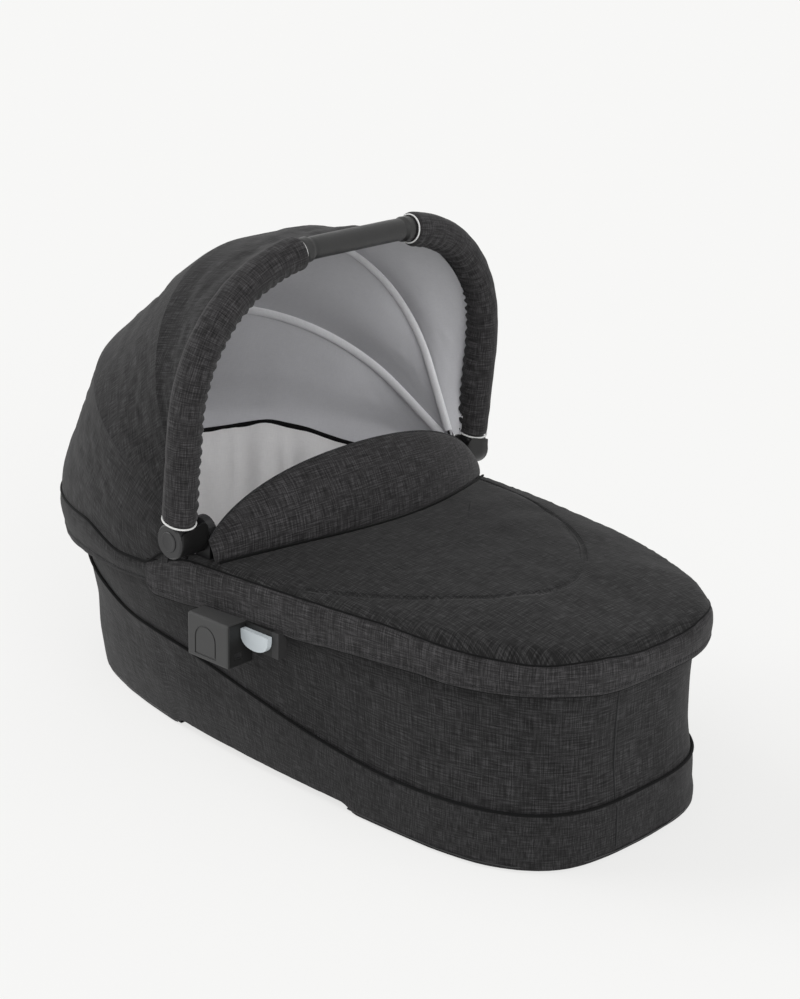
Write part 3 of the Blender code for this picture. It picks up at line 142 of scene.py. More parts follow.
def side_line(kind, inset=0.0):
    """The +Y side of the rim's or the base's plan, from the foot tip to the head tip."""
    key = (kind, round(inset, 6))
    if key not in line_cache:
        half_width, widest_x, tips, shares = plans[kind]
        foot, head = (half_plan(half_width, widest_x, tip, share) for tip, share in zip(tips, shares))
        line_cache[key] = inset_line(foot + head[-2::-1], inset)
    return line_cache[key]


def between(a, b, share):
    """A point on the way from a to b."""
    return tuple(p + (q - p) * share for p, q in zip(a, b))


def run_lengths(points):
    """How far along a line each of its points lies."""
    lengths = [0.0]
    for a, b in zip(points, points[1:]):
        lengths.append(lengths[-1] + math.dist(a, b))
    return lengths


def places_along(line, count):
    """Where evenly spaced points fall on a line, as pairs of an index and a share."""
    lengths = run_lengths(line)
    found = []
    k = 0
    for step in range(count):
        want = lengths[-1] * step / (count - 1)
        while k < len(line) - 2 and lengths[k + 1] < want:
            k += 1
        span = lengths[k + 1] - lengths[k]
        found.append((k, min(max((want - lengths[k]) / span if span > 0 else 0, 0), 1)))
    return found


def spread(line, count):
    """A line's points at even distances."""
    return [between(line[k], line[k + 1], share) for k, share in places_along(line, count)]


def plan_ring(kind, inset, count):
    """A closed ring of the plan: foot tip, +Y side, head tip, -Y side."""
    line = side_line(kind, inset)
    places = places_along(side_line(kind), count // 2 + 1)
    side = [between(line[k], line[k + 1], share) for k, share in places]
    return side + [(x, -y) for x, y in side[-2:0:-1]]


def half_width_at(kind, inset, x):
    """Half the plan's width at a place along the cot."""
    line = side_line(kind, inset)
    for (x0, y0), (x1, y1) in zip(line, line[1:]):
        if x1 <= x <= x0:
            return y0 + (y1 - y0) * ((x0 - x) / (x0 - x1) if x0 > x1 else 0)
    return 0.0


def rim_z(x):
    """Height of the rim tube's top, which dips towards both ends."""
    return rim_height - rim_dip * (x / half_length) ** 2


def wrinkle(place, scale, seed):
    """Smooth noise at a place, from about -1 to 1. The scale is in ripples to the metre."""
    return noise.noise(Vector(place) * scale + Vector((seed, seed * 1.7, -seed)))


def bell(value, width):
    """A soft bump: 1 at 0, and about 0.6 at its width."""
    return math.exp(-(value**2) / (2 * width**2))


def mirrored(half):
    """A line on the +Y side, carried on over its last point to the -Y side."""
    return half + [Vector((p.x, -p.y, p.z)) for p in reversed(half[:-1])]


def line_normals(line):
    """The outward direction at each point of an open plan line. The line runs anticlockwise, seen from
    above."""
    last = len(line) - 1
    found = []
    for k in range(len(line)):
        a, b = line[max(k - 1, 0)], line[min(k + 1, last)]
        along = Vector((b[0] - a[0], b[1] - a[1])).normalized()
        found.append((along.y, -along.x))
    return found


def ring_normals(ring):
    """The outward direction of a closed plan ring at each of its points."""
    return line_normals([ring[-1], *ring, ring[0]])[1:-1]


# Meshes


def grid_piece(name, rows, finish, round_row=False, thickness=0.0, side=1, filled=False):
    """A sheet of cloth through rows of points, as a closed shell with an inner face that lies a
    thickness behind it, and with a weave map in metres. Closed rows run round."""
    count = len(rows[0])
    faces_across = count if round_row else count - 1
    outer = [[Vector(point) for point in row] for row in rows]
    shell = bmesh.new()
    made = [[shell.verts.new(point) for point in row] for row in outer]
    map_layer = shell.loops.layers.uv.new("weave")
    middle = outer[len(outer) // 2]
    run_u = run_lengths(middle + middle[:1] if round_row else middle)
    run_v = [0.0]
    for a, b in zip(outer, outer[1:]):
        steps = [(b[k] - a[k]).length for k in range(0, count, max(count // 8, 1))]
        run_v.append(run_v[-1] + sum(steps) / len(steps))
    for r in range(len(outer) - 1):
        for k in range(faces_across):
            j = (k + 1) % count
            face = shell.faces.new((made[r][k], made[r][j], made[r + 1][j], made[r + 1][k]))
            corners = ((k, r), (k + 1, r), (k + 1, r + 1), (k, r + 1))
            for loop, (u, v) in zip(face.loops, corners):
                loop[map_layer].uv = (run_u[u], run_v[v])
            face.smooth = True
    if filled:
        face = shell.faces.new(made[-1])
        for loop, k in zip(face.loops, range(count)):
            loop[map_layer].uv = (run_u[k], run_v[-1])
        face.smooth = True
    shell.normal_update()
    if side < 0:
        bmesh.ops.reverse_faces(shell, faces=shell.faces[:])
        shell.normal_update()
    if thickness:
        bmesh.ops.solidify(shell, geom=shell.faces[:], thickness=thickness)
        for face in shell.faces:
            face.smooth = True
    mesh = bpy.data.meshes.new(name)
    shell.to_mesh(mesh)
    shell.free()
    mesh.set_sharp_from_angle(angle=math.radians(60))
    return place(name, mesh, finish)


def place(name, mesh, finish):
    """Puts a mesh into the scene in one material."""
    thing = bpy.data.objects.new(name, mesh)
    mesh.materials.append(finish)
    bpy.context.scene.collection.objects.link(thing)
    return thing


def rework(mesh, change=None):
    """Changes a mesh's faces, and turns its normals outwards."""
    shell = bmesh.new()
    shell.from_mesh(mesh)
    if change:
        change(shell)
    bmesh.ops.recalc_face_normals(shell, faces=shell.faces[:])
    shell.to_mesh(mesh)
    shell.free()


def cap_ends(thing, across, along):
    """Closes the first and last loops of a round shell."""
    def close(shell):
        shell.verts.ensure_lookup_table()
        starts = (0, (along - 1) * across)
        loops = [[shell.verts[start + k] for k in range(across)] for start in starts]
        for loop in loops:
            middle = shell.verts.new(sum((v.co for v in loop), Vector()) / across)
            for k in range(across):
                shell.faces.new((loop[k], loop[(k + 1) % across], middle)).smooth = True

    rework(thing.data, close)


def lay_map(thing, rule):
    """Lays a piece's weave map anew: the rule takes a vertex's place and the map's old point."""
    layer = thing.data.uv_layers["weave"].data
    for loop in thing.data.loops:
        spot = layer[loop.index]
        spot.uv = rule(thing.data.vertices[loop.vertex_index].co, spot.uv)


def tube_piece(name, path, radius, finish, closed=False, sides=10, flat=1.0, wide=None):
    """A rounded cord of cloth along points. A flat one lies with its width along wide."""
    points = [Vector(point) for point in path]
    last = len(points) - 1
    verts, faces = [], []
    side = None
    for k, point in enumerate(points):
        before = points[k - 1] if closed or k else points[0]
        after = points[(k + 1) % len(points)] if closed or k < last else points[last]
        along = (after - before).normalized()
        if wide is not None:
            side = wide.normalized()
        elif side is None:
            side = along.orthogonal().normalized()
        else:
            side = (side - along * side.dot(along)).normalized()
        across = along.cross(side).normalized()
        for i in range(sides):
            angle = 2 * math.pi * i / sides
            ring = side * math.cos(angle) + across * math.sin(angle) * flat
            verts.append(point + ring * radius)
    for k in range(len(points) if closed else last):
        a, b = k * sides, ((k + 1) % len(points)) * sides
        for i in range(sides):
            j = (i + 1) % sides
            faces.append((a + i, a + j, b + j, b + i))
    if not closed:
        faces.append(tuple(reversed(range(sides))))
        faces.append(tuple(range(last * sides, last * sides + sides)))
    mesh = bpy.data.meshes.new(name)
    mesh.from_pydata(verts, [], faces)
    rework(mesh)
    mesh.shade_smooth()
    mesh.set_sharp_from_angle(angle=math.radians(50))
    return place(name, mesh, finish)


stitch_length = 0.0030
stitch_pause = 0.0016
stitch_radius = 0.00042
stitch_rings = ((0.0, 0.35), (0.2, 1.0), (0.8, 1.0), (1.0, 0.35))
stitch_section = ((-1, 0), (-0.5, 0.9), (0.5, 0.9), (1, 0), (0, -0.8))


def stitches(name, path, normals, finish):
    """A row of thread stitches along a line on a surface."""
    points = [Vector(point) for point in path]
    lengths = run_lengths(points)
    shell = bmesh.new()
    k = 0
    at = stitch_pause
    while at + stitch_length < lengths[-1]:
        ends = []
        for want in (at, at + stitch_length):
            while k < len(points) - 2 and lengths[k + 1] < want:
                k += 1
            share = (want - lengths[k]) / max(lengths[k + 1] - lengths[k], 1e-9)
            ends.append(points[k].lerp(points[k + 1], share))
        normal = Vector(normals[k]).normalized()
        along = (ends[1] - ends[0]).normalized()
        across = along.cross(normal).normalized()
        rings = []
        for share, size in stitch_rings:
            middle = ends[0].lerp(ends[1], share)
            ways = [(across * side + normal * rise) * stitch_radius * size for side, rise in stitch_section]
            rings.append([shell.verts.new(middle + way) for way in ways])
        for a, b in zip(rings, rings[1:]):
            for i in range(len(stitch_section)):
                shell.faces.new((a[i - 1], a[i], b[i], b[i - 1]))
        shell.faces.new(rings[0][::-1])
        shell.faces.new(rings[-1])
        at += stitch_length + stitch_pause
    bmesh.ops.recalc_face_normals(shell, faces=shell.faces[:])
    for face in shell.faces:
        face.smooth = True
    mesh = bpy.data.meshes.new(name)
    shell.to_mesh(mesh)
    shell.free()
    return place(name, mesh, finish)


# Materials


def principled(name, color, roughness, metallic=0.0):
    """A new material, with its node tree and its shader."""
    made = bpy.data.materials.new(name)
    made.use_nodes = True
    shader = made.node_tree.nodes["Principled BSDF"]
    shader.inputs["Base Color"].default_value = (*color, 1)
    shader.inputs["Roughness"].default_value = roughness
    shader.inputs["Metallic"].default_value = metallic
    made.diffuse_color = (*color, 1)
    return made, made.node_tree, shader


def node(tree, kind, **values):
    """A new node with its settings."""
    made = tree.nodes.new(kind)
    for key, value in values.items():
        setattr(made, key, value)
    return made


def noise_at(tree, vector, scales, detail=2.0):
    """Noise that is stretched along the weave's two directions."""
    mapping = node(tree, "ShaderNodeMapping")
    mapping.inputs["Scale"].default_value = scales
    tree.links.new(vector, mapping.inputs["Vector"])
    texture = node(tree, "ShaderNodeTexNoise")
    texture.inputs["Scale"].default_value = 1.0
    texture.inputs["Detail"].default_value = detail
    tree.links.new(mapping.outputs["Vector"], texture.inputs["Vector"])
    return texture.outputs["Fac"]


def ramp(tree, factor, stops):
    """Colours that follow a factor, by pairs of a position and a colour."""
    made = node(tree, "ShaderNodeValToRGB")
    bar = made.color_ramp
    while len(bar.elements) < len(stops):
        bar.elements.new(0.5)
    for element, (position, color) in zip(bar.elements, stops):
        element.position = position
        element.color = (*color, 1)
    tree.links.new(factor, made.inputs["Fac"])
    return made.outputs["Color"]


def set_or_link(tree, socket, value):
    """Feeds a socket a number, a colour or another node's output."""
    if isinstance(value, (int, float)):
        socket.default_value = value
    elif isinstance(value, tuple):
        socket.default_value = (*value, 1)
    else:
        tree.links.new(value, socket)


def blend_color(tree, kind, factor, a, b):
    """Two colours blended. The node's colour sockets are known by number only."""
    made = node(tree, "ShaderNodeMix", data_type="RGBA", blend_type=kind)
    for key, value in (("Factor", factor), (6, a), (7, b)):
        set_or_link(tree, made.inputs[key], value)
    return made.outputs[2]


def math_node(tree, kind, a, b):
    """One step of arithmetic with two values, which may be numbers or outputs."""
    made = node(tree, "ShaderNodeMath", operation=kind)
    for socket, value in zip(made.inputs, (a, b)):
        set_or_link(tree, socket, value)
    return made.outputs["Value"]


def times(tree, value, factor):
    """A value times a number."""
    return math_node(tree, "MULTIPLY", value, factor)


def bumped(tree, shader, height, strength, distance):
    """Lets a height stand out in the shader's normals."""
    bump = node(tree, "ShaderNodeBump")
    bump.inputs["Strength"].default_value = strength
    bump.inputs["Distance"].default_value = distance
    tree.links.new(height, bump.inputs["Height"])
    tree.links.new(bump.outputs["Normal"], shader.inputs["Normal"])


def grey(value):
    """A neutral colour."""
    return (value, value, value)


def shaded(color, share):
    """A colour made darker or lighter, up to white."""
    return tuple(min(value * share, 1) for value in color)


def object_place(tree):
    """The place on a thing, in metres."""
    return node(tree, "ShaderNodeTexCoord").outputs["Object"]


def weave_place(tree, on_object):
    """Where a cloth's weave is laid: on the thing's own place, or by its weave map."""
    if on_object:
        return object_place(tree)
    return node(tree, "ShaderNodeUVMap", uv_map="weave").outputs["UV"]


def slub_cloth(name, dark, mid, light, object_weave=False):
    """Mélange cloth: thick and thin yarns both ways over a fine plain weave."""
    made, tree, shader = principled(name, mid, 0.92)
    shader.inputs["Sheen Weight"].default_value = 0.10
    shader.inputs["Sheen Roughness"].default_value = 0.5
    shader.inputs["Specular IOR Level"].default_value = 0.12
    vector = weave_place(tree, object_weave)
    warp = noise_at(tree, vector, (760, 48, 48), 3.0)
    weft = noise_at(tree, vector, (48, 760, 760), 3.0)
    fleck = noise_at(tree, vector, (1300, 1300, 1300), 1.0)
    broad = noise_at(tree, vector, (9, 9, 9))
    yarns = math_node(tree, "MAXIMUM", warp, weft)
    low = math_node(tree, "MINIMUM", warp, weft)
    both = times(tree, math_node(tree, "ADD", yarns, low), 0.5)
    flecks = times(tree, math_node(tree, "SUBTRACT", fleck, 0.5), 0.22)
    tone = math_node(tree, "ADD", both, flecks)
    color = ramp(tree, tone, ((0.36, dark), (0.50, mid), (0.66, light)))
    shade = ramp(tree, broad, ((0.25, grey(0.86)), (0.75, grey(1.12))))
    tree.links.new(blend_color(tree, "MULTIPLY", 1.0, color, shade), shader.inputs["Base Color"])
    bumped(tree, shader, math_node(tree, "ADD", tone, times(tree, fleck, 0.4)), 0.5, 0.0006)
    return made


def plain_cloth(name, color, object_weave=False, shine=0.3):
    """Smooth lining cloth with a faint weave and a little variation."""
    made, tree, shader = principled(name, color, 0.8)
    shader.inputs["Sheen Weight"].default_value = shine / 3
    shader.inputs["Specular IOR Level"].default_value = shine
    vector = weave_place(tree, object_weave)
    warp = noise_at(tree, vector, (1400, 90, 90))
    weft = noise_at(tree, vector, (90, 1400, 1400))
    broad = noise_at(tree, vector, (7, 7, 7))
    both = math_node(tree, "ADD", warp, weft)
    tone = math_node(tree, "ADD", times(tree, both, 0.25), times(tree, broad, 0.5))
    stops = ((0.35, shaded(color, 0.9)), (0.65, shaded(color, 1.08)))
    tree.links.new(ramp(tree, tone, stops), shader.inputs["Base Color"])
    bumped(tree, shader, both, 0.25, 0.0003)
    return made


def moulded(name, color, roughness, grain=1600, shine=0.5):
    """Moulded plastic with a fine grain and faint wear in its gloss."""
    made, tree, shader = principled(name, color, roughness)
    shader.inputs["Specular IOR Level"].default_value = shine
    vector = object_place(tree)
    fine = noise_at(tree, vector, (grain, grain, grain))
    broad = noise_at(tree, vector, (22, 22, 22), 3.0)
    rough = ramp(tree, broad, ((0.3, grey(roughness - 0.06)), (0.7, grey(roughness + 0.08))))
    tree.links.new(rough, shader.inputs["Roughness"])
    tone = ramp(tree, broad, ((0.3, shaded(color, 0.92)), (0.7, shaded(color, 1.08))))
    tree.links.new(tone, shader.inputs["Base Color"])
    bumped(tree, shader, fine, 0.15, 0.0002)
    return made


adapter_tail = 0.052
lever_margin = 0.0100
# Near black for the lever's recess and the adapter's faces turned to the foot: painted shade.
recess_painted_shade = (0.004, 0.004, 0.004)
cover_dark = (0.022, 0.0215, 0.022)


def adapter_plastic(name, thing):
    """Grey on the adapter's block; near black in the lever's recess and on the faces turned to the foot,
    which is painted shade; and cloth-dark beyond the lever.
    """
    made = moulded(name, (0.043, 0.043, 0.043), 0.55)
    tree = made.node_tree
    shader = tree.nodes["Principled BSDF"]
    block_color = shader.inputs["Base Color"].links[0].from_socket
    surface = node(tree, "ShaderNodeTexCoord")
    x_of = []
    for output in ("Object", "Normal"):
        split = node(tree, "ShaderNodeSeparateXYZ")
        tree.links.new(surface.outputs[output], split.inputs["Vector"])
        x_of.append(split.outputs["X"])
    end_x = max(vert.co.x for vert in thing.data.vertices)
    past_block = math_node(tree, "GREATER_THAN", x_of[0], end_x - adapter_tail - 0.0004)
    foot_faces_painted_shade = math_node(tree, "GREATER_THAN", x_of[1], 0.85)
    # The recess and the faces turned to the foot are painted near black: painted shade.
    dark = math_node(tree, "MAXIMUM", past_block, foot_faces_painted_shade)
    past_lever = math_node(tree, "GREATER_THAN", x_of[0], end_x - lever_margin)
    body = blend_color(tree, "MIX", dark, block_color, recess_painted_shade)
    whole = blend_color(tree, "MIX", past_lever, body, cover_dark)
    tree.links.new(whole, shader.inputs["Base Color"])
    return made


def leather(name, color):
    """Leatherette: pebbled cells and a soft gloss."""
    made, tree, shader = principled(name, color, 0.42)
    vector = object_place(tree)
    cells = node(tree, "ShaderNodeTexVoronoi", feature="F1")
    cells.inputs["Scale"].default_value = 900
    tree.links.new(vector, cells.inputs["Vector"])
    broad = noise_at(tree, vector, (60, 60, 60), 3.0)
    tone = ramp(tree, broad, ((0.3, shaded(color, 0.7)), (0.7, shaded(color, 1.4))))
    tree.links.new(tone, shader.inputs["Base Color"])
    rough = ramp(tree, broad, ((0.3, grey(0.34)), (0.7, grey(0.5))))
    tree.links.new(rough, shader.inputs["Roughness"])
    bumped(tree, shader, cells.outputs["Distance"], 0.4, 0.0004)
    return made


def brushed_metal(name, color, roughness):
    """Metal with fine drawn lines."""
    made, tree, shader = principled(name, color, roughness, 1.0)
    fine = noise_at(tree, object_place(tree), (700, 60, 700), 3.0)
    rough = ramp(tree, fine, ((0.3, grey(roughness - 0.07)), (0.7, grey(roughness + 0.1))))
    tree.links.new(rough, shader.inputs["Roughness"])
    tone = ramp(tree, fine, ((0.3, shaded(color, 0.93)), (0.7, color)))
    tree.links.new(tone, shader.inputs["Base Color"])
    bumped(tree, shader, fine, 0.08, 0.0002)
    return made


charcoal = slub_cloth(
    "charcoal_cloth", (0.0092, 0.0088, 0.0092), (0.0235, 0.0229, 0.0235), (0.060, 0.059, 0.061)
)
# Painted light: the charcoal cloth made lighter, for the valance, the wind flap and the handle's sleeves.
charcoal_painted_light = slub_cloth(
    "charcoal_painted_light_cloth", (0.0125, 0.0118, 0.0124), (0.0320, 0.0308, 0.0318), (0.082, 0.079, 0.082)
)
# Painted shade: the charcoal cloth made darker, for the apron.
charcoal_painted_shade = slub_cloth(
    "charcoal_painted_shade_cloth", (0.0060, 0.0058, 0.0060), (0.0175, 0.0172, 0.0175), (0.056, 0.055, 0.056)
)
charcoal_cord = slub_cloth(
    "charcoal_cord", (0.018, 0.018, 0.019), (0.032, 0.032, 0.034), (0.06, 0.06, 0.062), True
)
piping_cloth = plain_cloth("black_piping", (0.0050, 0.0050, 0.0052), True, 0.10)
lining = plain_cloth("grey_lining", (0.625, 0.625, 0.65))
rib_cloth = plain_cloth("pale_rib_tape", (0.86, 0.86, 0.88), True)
liner_cloth = plain_cloth("pale_liner", (0.82, 0.81, 0.81))
ticking = plain_cloth("white_ticking", (0.72, 0.72, 0.70), True)
thread = plain_cloth("black_thread", (0.016, 0.016, 0.017), True)
white_cord = plain_cloth("white_piping", (0.80, 0.80, 0.79), True)
black_leather = leather("black_leatherette", (0.011, 0.011, 0.011))
black_plastic = moulded("black_plastic", (0.020, 0.020, 0.021), 0.42)
gloss_plastic = moulded("gloss_plastic", (0.009, 0.009, 0.009), 0.34, shine=0.25)
pale_plastic = moulded("pale_plastic", (0.56, 0.61, 0.64), 0.4)
rubber = moulded("rubber", (0.018, 0.018, 0.018), 0.8)
board_card = moulded("board_card", (0.30, 0.21, 0.13), 0.8, 400)
aluminium = brushed_metal("aluminium", (0.60, 0.60, 0.61), 0.32)
steel = brushed_metal("steel", (0.48, 0.48, 0.49), 0.35)


# Body

arch_from_x = 0.2945 - half_length
arch_to_x = half_length - 0.2845
arch_slope = 0.022
arch_hem_rise = 0.0085
band_bottom = 0.0030
wall_columns = 360
wall_draw_in = 0.0055
foot_draw_in = 0.0016
tray_corner_y = 0.115
tray_corner_out = 0.0022
foot_seam_columns = 8
band_knots = (
    (-0.330, 0.1560), (-0.275, 0.1465), (-0.215, 0.1310), (-0.150, 0.1245), (-0.098, 0.1180),
    (-0.051, 0.1085), (0.013, 0.0945), (0.077, 0.0820), (0.153, 0.0710), (0.211, 0.0655), (0.300, 0.0640),
)


def through(knots, x):
    """A smooth line through knots, level beyond its ends."""
    last = len(knots) - 1
    if x <= knots[0][0]:
        return knots[0][1]
    if x >= knots[last][0]:
        return knots[last][1]
    k = next(i for i in range(last) if knots[i + 1][0] >= x)
    slopes = []
    for i in (k, k + 1):
        a, b = knots[max(i - 1, 0)], knots[min(i + 1, last)]
        slopes.append(0.0 if i in (0, last) else (b[1] - a[1]) / (b[0] - a[0]))
    span = knots[k + 1][0] - knots[k][0]
    t = (x - knots[k][0]) / span
    value = knots[k][1] * (2 * t**3 - 3 * t**2 + 1) + knots[k + 1][1] * (3 * t**2 - 2 * t**3)
    return value + span * (slopes[0] * (t**3 - 2 * t**2 + t) + slopes[1] * (t**3 - t**2))


def band_top(low, high):
    """The lower band's upper edge on the column between two plan points, at the base and the rim: high
    round the head, low round the foot."""
    return through(band_knots, (low[0] + high[0]) / 2)


def arch_share(x):
    """1 where the band's hem arches up in the middle of the sides, 0 beyond it."""
    rise = smooth_step(arch_from_x - arch_slope, arch_from_x, x)
    fall = 1 - smooth_step(arch_to_x, arch_to_x + arch_slope, x)
    return rise * fall


def wall_point(low, high, z, out, normal):
    """A place on the body's tapering side, drawn in a little between the tray and the rim. Low and
    high are its plan points at the base and the rim."""
    share = z / rim_z(high[0])
    out -= wall_draw_in * smooth_step(0.045, 0.110, z) * (1 - smooth_step(0.150, rim_height, z))
    out -= foot_draw_in * smooth_step(0.15, 0.32, high[0]) * (1 - smooth_step(0.12, 0.22, z))
    corner = math.exp(-(((abs(high[1]) - tray_corner_y) / 0.035) ** 2)) * smooth_step(0.33, 0.38, high[0])
    out += tray_corner_out * corner * (1 - smooth_step(0.012, 0.030, z))
    x = mix(low[0], high[0], share)
    y = mix(low[1], high[1], share)
    return Vector((x + normal[0] * out, y + normal[1] * out, z))


def body_columns():
    """Every column of the wall: its plan points at the base and the rim, and its outward direction."""
    low = plan_ring("base", 0.0, wall_columns)
    high = plan_ring("rim", wall_set_back, wall_columns)
    return list(zip(low, high, ring_normals(high)))


def body_rows(levels, ends, push):
    """Rows round the body. Ends gives the heights between which a column of them runs, and push gives
    how far out a point lies."""
    columns = [(low, high, normal, *ends(low, high)) for low, high, normal in body_columns()]
    rows = []
    for level in range(levels + 1):
        share = level / levels
        row = []
        for low, high, normal, bottom, top in columns:
            z = mix(bottom, top, share)
            row.append(wall_point(low, high, z, push(*high, z, share, top - bottom), normal))
        rows.append(row)
    return rows


def side_wall():
    """The outer cloth of the body: taut, with faint upright folds that gather at the seams."""
    def ends(low, high):
        return band_top(low, high) - 0.012, rim_z(high[0]) + 0.0020

    def push(x, y, z, share, height):
        fold = wrinkle((x, y, z * 0.22), 26, 3.1)
        fine = wrinkle((x, y, z * 0.10), 95, 7.7)
        taut = math.sin(math.pi * share)
        return 0.0011 * fold + 0.0005 * fine * (1 - taut) - 0.0004

    rows = body_rows(26, ends, push)
    wall = grid_piece("side_wall_cloth", rows, charcoal, round_row=True, thickness=0.0014)
    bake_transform(wall)
    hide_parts("side_wall")


def lower_band():
    """The panel that laps over the lower part of the body, with a hem at its top."""
    def ends(low, high):
        return band_bottom + arch_hem_rise * arch_share(low[0]), band_top(low, high)

    def push(x, y, z, share, height):
        fold = wrinkle((x, y, z * 0.3), 24, 13.4)
        fine = wrinkle((x, y, z * 0.15), 110, 5.2)
        hem = bell((1 - share) * height, 0.0035)
        foot_hem = bell(share * height, 0.004)
        return 0.0014 + 0.0007 * fold + 0.0003 * fine + 0.0007 * hem - 0.0006 * foot_hem

    rows = body_rows(16, ends, push)
    band = grid_piece("lower_band_cloth", rows, charcoal, round_row=True, thickness=0.0014)
    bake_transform(band)
    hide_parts("lower_band")


def band_piping():
    """The cord sewn along the top of the lower band."""
    path = []
    for low, high, normal in body_columns():
        path.append(wall_point(low, high, band_top(low, high) + 0.0008, 0.0018, normal))
    cord = tube_piece("band_piping", path, 0.0019, piping_cloth, closed=True, sides=8)
    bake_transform(cord)


def upright_seam(name, column):
    """A seam that runs up the body on one of its columns, as a fine cord in the cloth."""
    low, high, normal = body_columns()[column]
    path = []
    for step in range(25):
        z = mix(0.012, rim_z(high[0]) - 0.006, step / 24)
        out = 0.0019 if z < band_top(low, high) else -0.0004
        path.append(wall_point(low, high, z, out, normal))
    seam = tube_piece(name, path, 0.0011, thread, sides=6)
    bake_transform(seam)


rim_columns = 240


def rim_binding():
    """The padded binding round the rim, below the hood and the apron."""
    rows = []
    section = ((0.0002, 0.0030), (-0.0002, 0.0044), (0.0012, 0.0058), (0.006, 0.0062), (0.020, 0.0062),
               (0.0262, 0.0058), (0.0276, 0.0044), (0.0268, 0.0030))
    for inset, lift in section:
        ring = plan_ring("rim", inset, rim_columns)
        share = max(1 - inset / 0.009, 0)
        rows.append([(x, y, rim_z(x) + lift - seam_drop(x, y) * share) for x, y in ring])
    rows.append(rows[0])
    binding = grid_piece("rim_binding", rows, charcoal, round_row=True)
    rework(binding.data, lambda shell: bmesh.ops.remove_doubles(shell, verts=shell.verts[:], dist=1e-6))
    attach(binding, "rim")
    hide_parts("rim_cover")


def wall_top_piping():
    """The dark cord at the top of the wall. Below the hood and the apron it runs further in."""
    path = []
    for seen, hidden in zip(plan_ring("rim", 0.0012, rim_columns), plan_ring("rim", 0.0060, rim_columns)):
        x, y = seen
        below_apron = smooth_step(0.0, 0.05, x)
        share = max(smooth_step(0.11, 0.15, -x), below_apron)
        z = rim_z(x) + 0.0024 - seam_drop(x, y) - 0.0030 * below_apron
        path.append((*between(seen, hidden, share), z))
    cord = tube_piece("rim_piping", path, 0.0017, piping_cloth, closed=True, sides=8)
    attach(cord, "rim")


liner_foot_z = 0.0515
liner_knots = (
    (-0.396, 0.0100), (-0.378, 0.0122), (-0.362, 0.0142), (-0.343, 0.0182), (-0.320, 0.0222),
    (-0.300, 0.0192), (-0.275, 0.0155), (-0.250, 0.0098), (-0.222, 0.0055), (-0.190, 0.0040), (-0.100, 0.0),
)


def head_rise(x):
    """How far the liner's top arches up round the head end, with a peak on each side."""
    return through(liner_knots, x)


def liner():
    """The pale inner cloth, gathered where it hangs from the rim to the board."""
    columns = 420
    levels = 22
    low = plan_ring("base", 0.0325, columns)
    high = plan_ring("rim", 0.0315, columns)
    normals = ring_normals(high)
    lengths = run_lengths(high)
    rows = []
    for level in range(levels + 1):
        share = level / levels
        gather = math.sin(math.pi * min(share * 1.05, 1.0)) ** 0.6
        row = []
        for a, b, normal, run in zip(low, high, normals, lengths):
            z = mix(liner_foot_z, rim_z(b[0]) + 0.0075 + head_rise(b[0]), share)
            fold = noise.noise(Vector((run * 22, share * 0.9, 4.0)))
            sharp = abs(noise.noise(Vector((run * 30, share * 1.3, 9.0))))
            inward = (0.0105 * fold - 0.0160 * sharp) * (0.2 + 0.8 * gather) + 0.0105 * gather + 0.0016
            x, y = between(a, b, share)
            row.append((x - normal[0] * inward, y - normal[1] * inward, z))
        rows.append(row)
    cloth = grid_piece("liner_cloth", rows, liner_cloth, round_row=True, thickness=0.0008, side=-1)
    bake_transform(cloth)
    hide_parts("liner")


# Apron and valance

flap_end_x = hub.x + 0.025
flap_apex_x = hub.x + 0.100


def flap_line_x(y):
    """Where the apron ends below the wind flap."""
    share = min(abs(y) / rim_half_width, 1)
    return mix(flap_apex_x, flap_end_x, share**2)


def seam_drop(x, y):
    """How far the apron's edge seam lies lower round the foot end. It rises beside the tip."""
    low = 0.0078 * smooth_step(0.20, 0.32, x) - 0.0026 * smooth_step(0.37, 0.41, x)
    beside = math.exp(-(((abs(y) - 0.086) / 0.036) ** 2)) * smooth_step(0.36, 0.40, x)
    return low - 0.0056 * beside


def apron_z(x, y):
    """Height of the apron: seated on the rim, crowned in the middle."""
    half = max(half_width_at("rim", 0.0, x), 0.004)
    across = 1 - min(abs(y) / half, 1) ** 3
    forward = max(x - flap_end_x, 0) / (half_length - flap_end_x)
    along = 1 - min(forward, 1) ** 6
    return rim_z(x) + 0.0061 + 0.020 * across * along


def apron_boundary(count):
    """The apron's outline round the foot, and back along the flap's seam."""
    side = [point for point in side_line("rim") if point[0] >= flap_end_x]
    ring = spread([(x, -y) for x, y in reversed(side)] + side[1:], count)
    seam_count = count // 2
    across = [ring[-1][1] * (1 - 2 * k / seam_count) for k in range(1, seam_count)]
    return ring, [(flap_line_x(y), y) for y in across]


apron_centre_x = 0.15
u_seam_from_x = -0.020
u_seam_middle_y = -0.016
u_seam_long = 0.325
u_seam_wide = 0.212
u_seam_power = 1.75


def u_seam_reach(direction, reach):
    """How far along a ray from the apron's centre its U-shaped seam lies, as a share of reach."""
    low, high = 0.0, 1.0
    for _ in range(30):
        middle = (low + high) / 2
        x = apron_centre_x + direction[0] * reach * middle
        y = direction[1] * reach * middle
        value = (max(x - u_seam_from_x, 0) / u_seam_long) ** u_seam_power
        value += (abs(y - u_seam_middle_y) / u_seam_wide) ** u_seam_power
        low, high = (middle, high) if value < 1 else (low, middle)
    return (low + high) / 2


